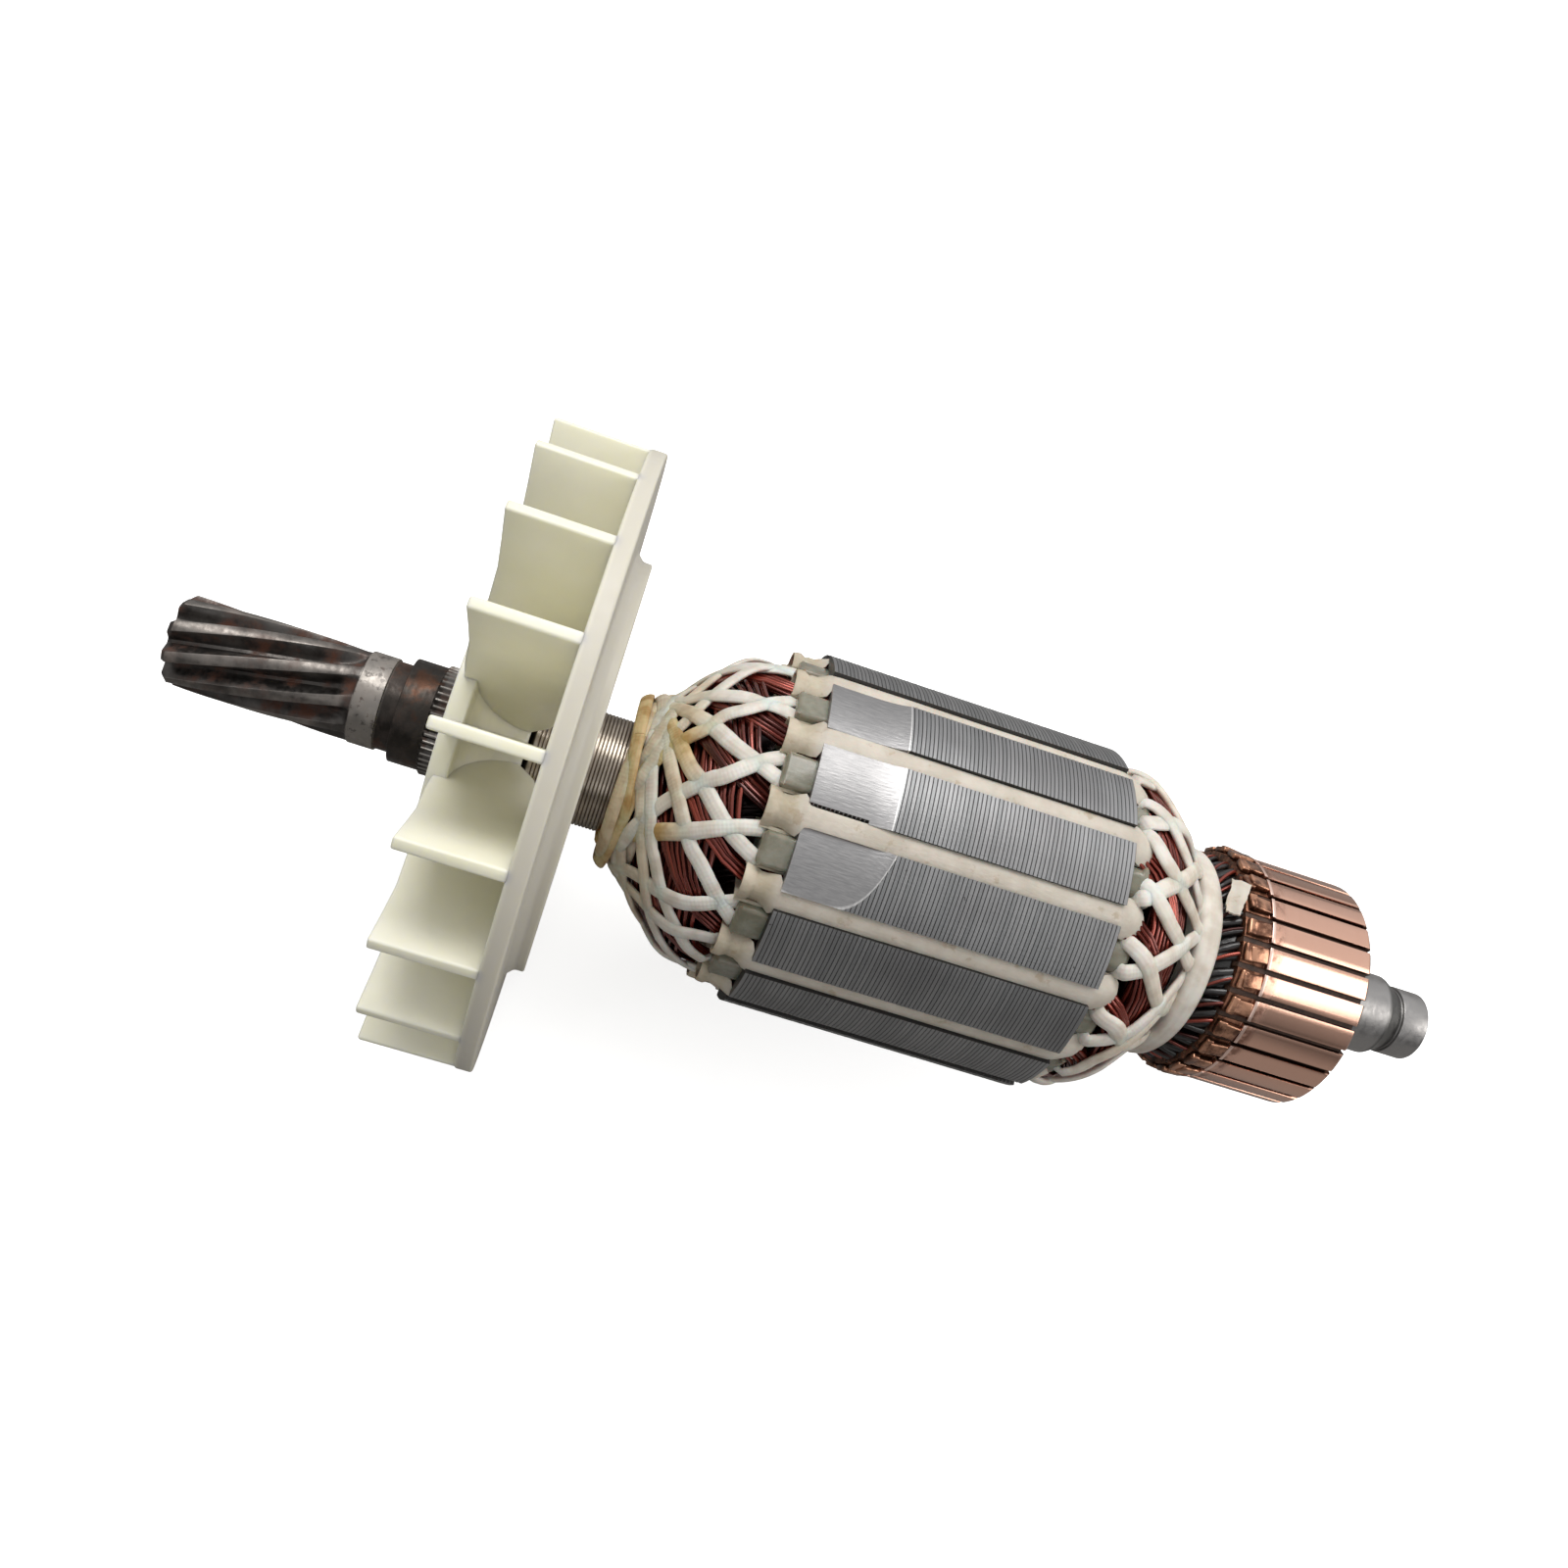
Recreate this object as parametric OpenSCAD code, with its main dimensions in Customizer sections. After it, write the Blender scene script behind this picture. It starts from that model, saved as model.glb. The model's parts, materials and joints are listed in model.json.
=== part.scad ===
// Wound armature of a universal motor for a geared hand-held power tool.
// The axis lies along X: the helical pinion is at -X, the commutator at +X, and +Z is up.
// The origin is the middle of the small bearing seat at the commutator end.
// Stations along the axis are counted from the middle of the lamination stack, + towards the commutator.

/* [Lamination stack] */
// Outside diameter of the core
core_d = 45; // [44:0.5:47]
// Length of the lamination stack
core_len = 37.9; // [36:0.1:39]
// Width of a tooth body between two slots
tooth_body_w = 4.1; // [3.9:0.1:4.3]
// Width of a slot's mouth at the surface
slot_mouth_w = 2.45; // [2.2:0.05:2.8]
// Radius at which the slots end
slot_floor_r = 12.6; // [12.4:0.1:13]
// Depth of the milled balancing scoops
scoop_depth = 0.55; // [0.3:0.05:0.7]

/* [Shaft] */
// Distance from the middle of the stack to the bearing seat at the commutator end
core_to_seat = 69.2; // [69:0.1:70]
// Diameter of the shaft inside the core and the commutator
shaft_d = 10.6; // [10:0.1:10.8]
// Diameter of the bearing seat at the commutator end
small_seat_d = 9; // [8.8:0.1:9.2]
// Diameter of the bearing seat at the drive end
drive_seat_d = 13; // [12.8:0.1:13.2]
// Diameter over the tips of the axial knurl that holds the fan
knurl_d = 13.8; // [13.6:0.1:14]
// Number of ridges in the knurl
knurl_count = 48; // [36:2:60]
// Number of pinion teeth
pinion_teeth = 9; // [8:1:10]
// Diameter over the tips of the pinion teeth
pinion_d = 11.2; // [11:0.1:11.4]
// Diameter at the roots of the pinion teeth
pinion_root_d = 7.6; // [7.4:0.1:8]
// Turn of the pinion teeth per millimetre, in degrees
pinion_twist = 2.65; // [2:0.05:3]

/* [Fan] */
// Diameter of the shroud disc and the blade tips
fan_d = 77.6; // [76:0.2:79]
// Number of blades
blade_count = 20; // [16:1:22]
// Thickness of a blade
blade_t = 1.4; // [1.2:0.1:1.6]
// Diameter of the hub plate that closes the fan on the pinion side
hub_plate_d = 40; // [38:0.5:42]
// Diameter of the air inlet through the shroud
inlet_d = 46; // [42:0.5:48]

/* [Commutator] */
// Number of copper bars
bar_count = 28; // [28]
// Diameter of the brush track
track_d = 29.8; // [29.4:0.1:30]
// Width of the mica between two bars
mica_w = 0.6; // [0.5:0.05:0.7]
// Depth of the undercut above the mica
undercut = 0.7; // [0.4:0.1:0.9]

/* [Winding] */
// Width of the flat lacing cord
cord_w = 2.0; // [1.6:0.1:2.2]
// Thickness of the flat lacing cord
cord_t = 0.7; // [0.6:0.05:0.8]

/* [Hidden] */
slot_count = 14;
slot_pitch = 360 / slot_count;
core_r = core_d / 2;
core_end = core_len / 2;
shaft_r = shaft_d / 2;
tube_r = 6.2;                 // outside of the insulating tube on the shaft
tip_lip = 1.6;                // thickness of a tooth tip beside the slot mouth
paper_t = 0.35;               // slot liner
paper_out_drive = 4.3;        // how far the liners stand out of the core at each end
paper_out_comm = 3.6;
star_drive_t = 4.4;           // thickness of the end stars
star_comm_t = 3.4;
star_r = 21;                  // reach of the star fingers
gap = 0.05;                   // between wound parts and the pieces beside them
slot_floor_half = slot_half(slot_floor_r);
slot_top_r = core_r - tip_lip;        // under the tooth tips
slot_shoulder_r = slot_top_r - 0.9;   // where the slot starts to close
liner_top_r = slot_top_r - 1.1;       // liner below, wedge above

pinion_start = -93.5;
pinion_end = -71.4;
runout_start = -78.5;
seat_ring = [-71.4, -68.2];   // bright ground ring behind the teeth
drive_seat = [-66.2, -62.5];
knurl = [-62.5, -50.6];
sleeve = [-50.4, -38.25];     // ring-grooved spacer sleeve
sleeve_r = 7.2;
groove_pitch = 0.45;
shoulder = [64.9, 67.0];      // cone down to the small bearing seat
shaft_tip = 71.2;

shroud = [-47.2, -45.1];      // blade side and motor side of the shroud disc
collar_end = -42.9;
collar_r = 26;
hub_r = 8.4;
hub_end = -50.5;
plate_front = -59.26;
plate_back = -57.0;
blade_tip_x = -58.4;
blade_phase = -4.03;
fan_color = [0.86, 0.86, 0.74];

riser_start = 38;
riser_end = 41.25;
step_end = 41.7;
bar_end = 54.9;
bar_phase = 1.41;
bar_floor_r = 11.4;
bush_r = 7.6;

band = [32.45, 35.6];         // cord binding round the winding neck at the commutator end
// Outline of the laced winding at each end: [station, radius]
drive_dome = [[-23.45, 19.3], [-25.5, 19.1], [-28, 18.4], [-30, 16.8], [-32, 14.9], [-33.6, 13.1],
    [-35, 11.7], [-37, 10.2], [-38.2, 8.9]];
comm_dome = [[22.9, 20.4], [25, 19.9], [28, 18.0], [30, 16.0], [31.4, 14.2], [32.4, 12.6]];
star_phase = slot_pitch / 2;

// Half width of a slot at radius r, between parallel-sided teeth
function slot_half(r) = r * tan(slot_pitch / 2) - tooth_body_w / 2 / cos(slot_pitch / 2);
// Value of a list of [x, y] points at x, by straight lines between them
function along(list, x, i = 0) =
    i > len(list) - 3 || (x - list[i][0]) * (x - list[i + 1][0]) <= 0
    ? list[i][1] + (x - list[i][0]) * (list[i + 1][1] - list[i][1]) / (list[i + 1][0] - list[i][0])
    : along(list, x, i + 1);
// Point at station x, radius r and angle a, counted from +Z towards -Y
function polar(x, r, a) = [x - core_to_seat, -r * sin(a), r * cos(a)];

// Puts a shape drawn along Z on the axis, with its own zero at station x
module on_axis(x = 0) {
    translate([x - core_to_seat, 0, 0])
        rotate([0, 90, 0])
            rotate([0, 0, 180])
                children();
}

// Solid of revolution from [station, radius] points
module turned(points, facets = 96) {
    on_axis()
        rotate_extrude($fn = facets)
            polygon([for (p = points) [p[1], p[0]]]);
}

// A 2D section drawn out along the axis between two stations
module drawn(from, to) {
    on_axis(from)
        linear_extrude(to - from)
            children();
}

module ring_2d(outer, inner) {
    difference() {
        circle(outer, $fn = 96);
        circle(inner, $fn = 96);
    }
}

// ---- shaft ----

tooth_shape = [[0, 0], [0.13, 0], [0.25, 0.5], [0.36, 1], [0.62, 1], [0.74, 0.5], [0.87, 0]];

// Radius of the tooth gaps: they rise where the cutter ran out
function root_at(x) =
    let (t = max(0, (x - runout_start) / (pinion_end - runout_start)))
    pinion_root_d / 2 + (pinion_d / 2 - pinion_root_d / 2) * (1 - sqrt(max(0, 1 - t * t)));
function tip_at(x) = pinion_d / 2 - max(0, 0.6 - (x - pinion_start));
function pinion_ring(x) = [
    for (k = [0 : pinion_teeth - 1], p = tooth_shape)
    let (root = root_at(x))
    let (r = root + (max(tip_at(x), root) - root) * p[1])
    let (a = (k + p[0]) * 360 / pinion_teeth - pinion_twist * (x - pinion_start))
    polar(x, r, a)];

// Helical teeth, twisted slice by slice, with scooped cutter run-outs
module pinion_gear() {
    steps = 20;
    n = pinion_teeth * len(tooth_shape);
    stations = [pinion_start,
        for (i = [0 : steps]) pinion_start + 0.6 + i * (pinion_end - pinion_start - 0.6) / steps];
    rings = [for (x = stations) pinion_ring(x)];
    last = len(stations) - 1;
    polyhedron(
        [for (ring = rings, p = ring) p],
        concat(
            [[for (i = [0 : n - 1]) i]],
            [[for (i = [n - 1 : -1 : 0]) last * n + i]],
            [for (s = [0 : last - 1], i = [0 : n - 1])
                [s * n + i, (s + 1) * n + i, s * n + (i + 1) % n]],
            [for (s = [0 : last - 1], i = [0 : n - 1])
                [s * n + (i + 1) % n, (s + 1) * n + i, (s + 1) * n + (i + 1) % n]]));
}

module shaft() {
    tip_r = knurl_d / 2;
    color([0.32, 0.30, 0.29]) {
        pinion_gear();
        turned([[seat_ring[0], 0], [seat_ring[0], 5.75], [seat_ring[1], 5.75], [seat_ring[1], 5.5],
            [drive_seat[0], 5.5], [drive_seat[0], 6.1], [drive_seat[0] + 0.4, drive_seat_d / 2],
            [knurl[0] + 0.2, drive_seat_d / 2], [knurl[0] + 0.2, 6.3], [knurl[1], 6.3], [knurl[1], shaft_r],
            [shoulder[0], shaft_r], [shoulder[1], 4.1], [shoulder[1] + 0.3, 4.1],
            [shoulder[1] + 0.3, small_seat_d / 2], [shaft_tip - 0.7, small_seat_d / 2],
            [shaft_tip - 0.2, small_seat_d / 2 - 0.3], [shaft_tip, small_seat_d / 2 - 0.8],
            [shaft_tip, 1.1], [shaft_tip - 1.6, 0]]);
        drawn(knurl[0], knurl[1])
            polygon([for (i = [0 : 2 * knurl_count - 1])
                let (r = i % 2 == 0 ? tip_r : tip_r - 0.35)
                r * [cos(i * 180 / knurl_count), sin(i * 180 / knurl_count)]]);
    }
}

// ---- spacer sleeve ----

module spacer_sleeve() {
    grooves = floor((sleeve[1] - sleeve[0] - 1.6) / groove_pitch);
    color([0.62, 0.58, 0.53])
        turned(concat(
            [[sleeve[0], shaft_r], [sleeve[0], sleeve_r - 0.6], [sleeve[0] + 0.6, sleeve_r]],
            [for (i = [0 : grooves - 1], p = [[0, 0], [0.12, -0.13], [0.22, 0]])
                [sleeve[0] + 1 + i * groove_pitch + p[0], sleeve_r + p[1]]],
            [[sleeve[1], sleeve_r], [sleeve[1], shaft_r]]));
}

// ---- fan ----

// Curve of the hub plate, from the hub (0 degrees) out to its rim (90 degrees)
function plate_curve(x0, r0, x1, r1, steps) = [
    for (i = [0 : steps]) let (a = 90 * i / steps)
    [x0 + (x1 - x0) * sin(a), r1 + (r0 - r1) * cos(a)]];

// One blade, drawn to reach into the hub plate, which is then taken off it
module fan_blade_2d() {
    plate_r = hub_plate_d / 2;
    tip_r = fan_d / 2 - 0.1;
    polygon([for (p = [[blade_tip_x, tip_r], [shroud[0], tip_r], [shroud[0], 16], [-48.3, 11.8],
        [hub_end + 0.05, hub_r], [hub_end - 0.2, 7.8], [-53, 8.9], [-54.6, 10.4], [-56, 12.2],
        [-57, 15.2], [-57.4, 18.8], [plate_front + 0.7, plate_r - 0.7],
        [plate_front + 0.7, plate_r + 0.2], [-58.5, 24], [-58.1, 30], [-58.2, 34]]) [p[1], p[0]]]);
}

// The moulded fan is one piece, kept as three nodes so that the spaces between its blades stay open
module fan_hub() {
    plate_r = hub_plate_d / 2;
    color(fan_color)
        rotate([blade_phase + 180 / blade_count, 0, 0])
            turned(concat(
                [[hub_end, knurl_d / 2], [hub_end, hub_r]],
                plate_curve(hub_end, hub_r, plate_back, plate_r, 6),
                [[plate_front, plate_r], [plate_front, plate_r - 1.4]],
                [for (i = [0 : 4]) plate_curve(-54.2, 9.6, -57.8, plate_r - 1.4, 4)[4 - i]],
                [[-60.2, 9.6], [-60.2, knurl_d / 2]]));
}

module fan_shroud() {
    color(fan_color)
        turned([[shroud[0], inlet_d / 2], [shroud[0], fan_d / 2], [shroud[1], fan_d / 2],
            [shroud[1], collar_r + 1], [shroud[1] + 1, collar_r], [collar_end, collar_r],
            [collar_end, inlet_d / 2]]);
}

module fan_blades() {
    color(fan_color)
        difference() {
            on_axis()
                for (i = [0 : blade_count - 1])
                    rotate([0, 0, blade_phase + i * 360 / blade_count])
                        translate([0, blade_t / 2, 0])
                            rotate([90, 0, 0])
                                linear_extrude(blade_t)
                                    fan_blade_2d();
            fan_hub();
        }
}

// ---- core and its insulation ----

// Half of a slot's outline, from the middle of its round floor up to its mouth
function slot_side(trim) = concat(
    [for (a = [180 : -22.5 : 90]) [slot_floor_r, 0] + (slot_floor_half - trim) * [cos(a), sin(a)]],
    [[slot_shoulder_r, slot_half(slot_shoulder_r) - trim], [slot_top_r - trim, slot_mouth_w / 2]]);
function mirrored(points) = [for (i = [len(points) - 1 : -1 : 0]) [points[i][0], -points[i][1]]];

module slot_2d(trim = 0) {
    polygon(concat(slot_side(trim), mirrored(slot_side(trim))));
}

module lamination_2d() {
    difference() {
        ring_2d(core_r, tube_r);
        for (i = [0 : slot_count - 1])
            rotate(i * slot_pitch) {
                slot_2d();
                translate([slot_top_r - 0.1, -slot_mouth_w / 2])
                    square([tip_lip + 1, slot_mouth_w]);
            }
    }
}

// Shallow scoop milled across a tooth at the drive end to balance the armature
module balancing_scoop(tooth) {
    cutter_r = 58;
    on_axis(-core_end + 4.5)
        rotate([0, 0, (tooth + 0.5) * slot_pitch])
            translate([core_r - scoop_depth + cutter_r, 0, 0])
                rotate([90, 0, 0])
                    cylinder(r = cutter_r, h = 9, center = true, $fn = 128);
}

module core() {
    color([0.55, 0.57, 0.60])
        difference() {
            drawn(-core_end, core_end)
                lamination_2d();
            for (tooth = [-1 : 1])
                balancing_scoop(tooth);
        }
}

module shaft_insulation() {
    color([0.80, 0.76, 0.62])
        drawn(sleeve[1], riser_start - 0.5)
            ring_2d(tube_r, shaft_r);
}

module end_star(from, to) {
    drawn(from, to)
        difference() {
            union() {
                circle(slot_floor_r - slot_floor_half - 0.1, $fn = 96);
                for (i = [0 : slot_count - 1])
                    rotate(i * slot_pitch + star_phase)
                        translate([7, -tooth_body_w / 2])
                            square([star_r - 7, tooth_body_w]);
            }
            circle(tube_r, $fn = 96);
        }
}

module slot_liner(i) {
    color([0.90, 0.86, 0.76])
        drawn(-core_end - paper_out_drive, core_end + paper_out_comm)
            rotate((i - 1) * slot_pitch)
                difference() {
                    slot_2d();
                    slot_2d(paper_t);
                    translate([liner_top_r, -4])
                        square([2, 8]);
                }
}

module slot_wedge(i) {
    half = slot_half(liner_top_r) - 0.05;
    color([0.93, 0.88, 0.78])
        drawn(-core_end - paper_out_drive, core_end + paper_out_comm)
            rotate((i - 1) * slot_pitch)
                polygon([[liner_top_r, half], [slot_shoulder_r, slot_half(slot_shoulder_r) - 0.05],
                    [slot_top_r, slot_mouth_w / 2], [core_r - 0.6, slot_mouth_w / 2],
                    [core_r - 0.35, 0.6], [core_r - 0.35, -0.6], [core_r - 0.6, -slot_mouth_w / 2],
                    [slot_top_r, -slot_mouth_w / 2], [slot_shoulder_r, 0.05 - slot_half(slot_shoulder_r)],
                    [liner_top_r, -half]]);
}

// ---- winding ----

bundle_sides = 6;

// Solid between neighbouring sections, each a list of points
module swept(sections) {
    n = len(sections[0]);
    for (i = [0 : len(sections) - 2])
        hull()
            polyhedron(concat(sections[i], sections[i + 1]), concat(
                [[for (k = [0 : n - 1]) k]], [[for (k = [n - 1 : -1 : 0]) n + k]],
                [for (k = [0 : n - 1]) [k, n + k, (k + 1) % n]],
                [for (k = [0 : n - 1]) [(k + 1) % n, n + k, n + (k + 1) % n]]));
}

// Section of a flat strip lying on a dome: w wide round the axis, t thick, its middle lifted by lift
function strip_section(dome, x, a, lift, w, t, slope, sides) =
    let (r = along(dome, x) + lift)
    [for (k = [0 : sides - 1])
        let (b = 360 * (k + 0.5) / sides)
        let (f = sides == 4 ? sqrt(2) : 1)
        polar(x + f * t / 2 * sin(b) * sin(slope), r + f * t / 2 * sin(b) * cos(slope),
            a + f * w / 2 * cos(b) * 57.3 / r)];

// Slope of the dome at x, in degrees from the axis
function dome_slope(dome, x) =
    let (e = 0.4, d = dome[len(dome) - 1][0] > dome[0][0] ? 1 : -1)
    d * atan2(along(dome, x - d * e) - along(dome, x + d * e), 2 * e);

// Part of a coil end in sight: it leaves a slot wide and runs round to the neck, getting narrower
module coil_end(dome, a, sweep, steps) {
    reach = dome[len(dome) - 1][0] - dome[0][0];
    swept([for (i = [0 : steps])
        let (x = dome[0][0] + reach * (0.07 + 0.86 * sin(90 * i / steps)))
        strip_section(dome, x, a + sweep * i / steps, -2.15 + 0.2 * (i % 2), 5.4 - 2.6 * i / steps, 2.2,
            dome_slope(dome, x), bundle_sides)]);
}

module dome_core(dome, depth) {
    turned(concat([[dome[0][0], tube_r + gap]],
        [for (p = dome) [p[0], max(tube_r + 1.2, p[1] - depth)]],
        [[dome[len(dome) - 1][0], tube_r + gap]]), 28);
}

module winding() {
    color([0.36, 0.13, 0.10]) {
        drawn(drive_dome[0][0] - 0.3, comm_dome[0][0] + 0.3)
            for (i = [0 : slot_count - 1])
                rotate(i * slot_pitch)
                    intersection() {
                        slot_2d(paper_t + gap);
                        translate([slot_floor_r - 1, -4])
                            square([liner_top_r - gap - slot_floor_r + 1, 8]);
                    }
        dome_core(drive_dome, 2.6);
        dome_core(comm_dome, 2.6);
        for (i = [0 : slot_count - 1]) {
            coil_end(drive_dome, i * slot_pitch, 62, 5);
            coil_end(comm_dome, i * slot_pitch, -40, 3);
        }
    }
}

// Flat cord laid on the winding from the core end to station x_neck, going round by sweep degrees
module lacing_cord(dome, lift, x_neck, a, sweep, steps) {
    swept([for (i = [0 : steps])
        let (x = dome[0][0] + (x_neck - dome[0][0]) * sin(90 * i / steps))
        strip_section(dome, x, a + sweep * i / steps, lift, cord_w * 1.15, cord_t, dome_slope(dome, x), 4)]);
}

module lacing(dome, x_neck, sweep, steps) {
    for (i = [0 : slot_count - 1]) {
        lacing_cord(dome, -0.3, x_neck, i * slot_pitch + 3, sweep, steps);
        lacing_cord(dome, 0, x_neck, i * slot_pitch - 3, -sweep, steps);
    }
}

module lacing_drive() {
    color([0.93, 0.91, 0.86])
        lacing(drive_dome, -37.6, 62, 5);
}

module lacing_commutator() {
    color([0.93, 0.93, 0.90])
        lacing(comm_dome, 32.1, 40, 3);
}

module cord_ring(points, cord_r) {
    on_axis()
        rotate_extrude($fn = 96)
            for (p = points)
                translate([p[1], p[0]])
                    circle(cord_r, $fn = 16);
}

module neck_binding() {
    color([0.80, 0.70, 0.48])
        cord_ring([[-38.9, 7.9], [-38.9, 8.6]], 0.5);
}

module binding_band() {
    color([0.90, 0.90, 0.86])
        cord_ring([for (i = [0 : 2], j = [0 : 1]) [band[0] + 0.76 + i * 0.8, 11.3 + j * 1.2 - i * 0.1]], 0.75);
}

// ---- commutator ----

module lead_wires() {
    color([0.20, 0.08, 0.06])
        difference() {
            union() {
                turned([[band[0], tube_r + gap], [band[0], 10.4], [band[1], 10.2],
                    [riser_start, 12.6], [riser_start, tube_r + gap]]);
                for (i = [0 : bar_count - 1])
                    rotate([bar_phase + (i + 0.5) * 360 / bar_count, 0, 0])
                        translate([band[1] + 0.1 - core_to_seat, 0, 10])
                            rotate([14, 32, 0])
                                cylinder(d = 0.9, h = 5, $fn = 6);
            }
            drawn(riser_start, riser_start + 4)
                circle(track_d, $fn = 48);
        }
}

module paper_tongue() {
    color([0.88, 0.86, 0.72])
        translate(polar(36.5, 14.6, -6))
            rotate([-6, 24, 0])
                cube([3, 2.6, 0.35], center = true);
}

module bar_gaps_2d(width) {
    for (i = [0 : bar_count - 1])
        rotate(bar_phase + i * 360 / bar_count)
            translate([bar_floor_r - 1, -width / 2])
                square([6, width]);
}

module commutator_bars() {
    track_r = track_d / 2;
    color([0.84, 0.52, 0.40]) {
        difference() {
            turned([[riser_start, bar_floor_r], [riser_start, track_r - 0.5], [riser_end, track_r - 0.5],
                [riser_end, track_r + 0.15], [step_end, track_r + 0.15], [step_end, track_r],
                [bar_end - 0.4, track_r], [bar_end, track_r - 0.4], [bar_end, bar_floor_r]]);
            drawn(riser_start - 1, bar_end + 1)
                bar_gaps_2d(mica_w);
        }
        on_axis()
            for (i = [0 : bar_count - 1])
                rotate([0, 0, bar_phase + (i + 0.5) * 360 / bar_count])
                    translate([track_r - 0.8, -1.1, riser_start + 0.5])
                        cube([1.2, 2.2, 2.3]);
    }
}

module commutator_mica() {
    color([0.35, 0.22, 0.15])
        drawn(riser_start, bar_end - 0.4)
            intersection() {
                ring_2d(track_d / 2 - undercut, bar_floor_r);
                bar_gaps_2d(mica_w);
            }
}

module commutator_hub() {
    color([0.16, 0.12, 0.10])
        drawn(riser_start, bar_end - 0.9)
            ring_2d(bar_floor_r, bush_r);
}

module commutator_bush() {
    color([0.50, 0.50, 0.50])
        drawn(riser_start, bar_end - 0.4)
            ring_2d(bush_r, shaft_r);
}

shaft();
spacer_sleeve();
fan_hub();
fan_blades();
fan_shroud();
core();
shaft_insulation();
color([0.66, 0.72, 0.66]) end_star(-core_end - star_drive_t, -core_end);  // end_star_drive
color([0.66, 0.72, 0.66]) end_star(core_end, core_end + star_comm_t);  // end_star_commutator
winding();
lacing_drive();
neck_binding();
lacing_commutator();
binding_band();
lead_wires();
paper_tongue();
commutator_bars();
commutator_mica();
commutator_hub();
commutator_bush();
for (i = [1 : slot_count])
    slot_liner(i);
for (i = [1 : slot_count])
    slot_wedge(i);
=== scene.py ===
# %% [markdown]
# # A wound motor armature, dressed for its portrait
# The part is the rotor of a small geared power tool: a helical pinion, a moulded fan, a laminated core with
# laced coil ends and a commutator, all on one shaft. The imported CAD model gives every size. This script
# keeps the CAD nodes whose shape is right, gives them finishes, and swaps in finer pieces where the real
# thing shows wires, cords, sheet-steel edges or rounded mouldings.

# %% Load the frame
import json
import math
import random

import bmesh
import bpy
from mathutils import Matrix, Vector

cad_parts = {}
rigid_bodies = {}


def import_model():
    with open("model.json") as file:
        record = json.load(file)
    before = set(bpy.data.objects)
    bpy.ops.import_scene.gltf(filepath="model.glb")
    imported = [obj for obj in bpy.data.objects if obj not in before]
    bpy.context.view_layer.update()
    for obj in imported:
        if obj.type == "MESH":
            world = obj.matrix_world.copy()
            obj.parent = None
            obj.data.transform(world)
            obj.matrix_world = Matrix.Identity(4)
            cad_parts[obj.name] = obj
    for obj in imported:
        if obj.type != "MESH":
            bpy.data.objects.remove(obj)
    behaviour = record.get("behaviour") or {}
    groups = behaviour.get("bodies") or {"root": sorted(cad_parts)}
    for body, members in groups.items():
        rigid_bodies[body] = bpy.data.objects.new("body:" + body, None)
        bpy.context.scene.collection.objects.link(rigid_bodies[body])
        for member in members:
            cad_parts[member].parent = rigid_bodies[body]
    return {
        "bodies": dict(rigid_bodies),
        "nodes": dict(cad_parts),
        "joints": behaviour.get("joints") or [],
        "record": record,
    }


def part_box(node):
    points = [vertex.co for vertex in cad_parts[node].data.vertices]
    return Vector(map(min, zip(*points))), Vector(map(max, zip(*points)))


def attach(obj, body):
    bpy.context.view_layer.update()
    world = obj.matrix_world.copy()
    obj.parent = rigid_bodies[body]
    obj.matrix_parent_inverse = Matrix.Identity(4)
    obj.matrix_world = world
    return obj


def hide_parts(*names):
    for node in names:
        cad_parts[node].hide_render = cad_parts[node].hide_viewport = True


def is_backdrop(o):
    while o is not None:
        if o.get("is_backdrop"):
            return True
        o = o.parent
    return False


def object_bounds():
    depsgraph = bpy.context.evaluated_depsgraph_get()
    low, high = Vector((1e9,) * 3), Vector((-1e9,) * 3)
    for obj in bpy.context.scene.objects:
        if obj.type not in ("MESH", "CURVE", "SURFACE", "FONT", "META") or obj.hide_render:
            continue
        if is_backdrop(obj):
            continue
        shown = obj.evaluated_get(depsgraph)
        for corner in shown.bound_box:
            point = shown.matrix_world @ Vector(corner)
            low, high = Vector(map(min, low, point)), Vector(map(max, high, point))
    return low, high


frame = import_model()
cad_box = [list(corner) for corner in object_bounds()]
print("CAD box in mm:", [[round(1000 * c, 1) for c in corner] for corner in cad_box])

# %% [markdown]
# Everything on an armature is placed by two numbers and a turn: how far along the shaft, how far from its
# axis, and at what angle. The frame's origin is the bearing seat at the commutator end, but the winding is
# symmetric about the core, so stations are counted in millimetres from the middle of the core. The angle is
# 0 straight up and grows towards -Y. One small function turns the three into a point in metres.

# %% Places on the armature
MM = 0.001
CORE_TO_SEAT = 69.2
SLOTS = 14
PITCH = 360 / SLOTS
CORE_END = 18.95
CORE_R = 22.5
SHEETS = 76


def at(station, radius, angle=0.0):
    turn = math.radians(angle)
    return Vector((station - CORE_TO_SEAT, -radius * math.sin(turn), radius * math.cos(turn))) * MM


def turned_to(angle):
    """Matrix that turns a piece about the shaft."""
    return Matrix.Rotation(math.radians(angle), 4, "X")


print("core from", at(-CORE_END, 0).x, "to", at(CORE_END, 0).x)

# %% [markdown]
# ## Camera, floor and light
# The camera stands where it sees the pinion pointing a little away and the commutator a little nearer. A lens of
# about 30 mm at that distance gives the strong perspective of a close product shot. Its axes are written
# as directions because the view is slightly rolled: the shaft slopes down to the right.

# %% Camera
camera_data = bpy.data.cameras.new("camera")
camera = bpy.data.objects.new("camera", camera_data)
bpy.context.scene.collection.objects.link(camera)
bpy.context.scene.camera = camera
ELEVATION = math.radians(57.68)


def from_view(along, up, near):
    """A direction given along the shaft, up across it and towards the viewer, in world axes."""
    return Vector((
        along,
        up * math.sin(ELEVATION) - near * math.cos(ELEVATION),
        up * math.cos(ELEVATION) + near * math.sin(ELEVATION),
    ))


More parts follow.
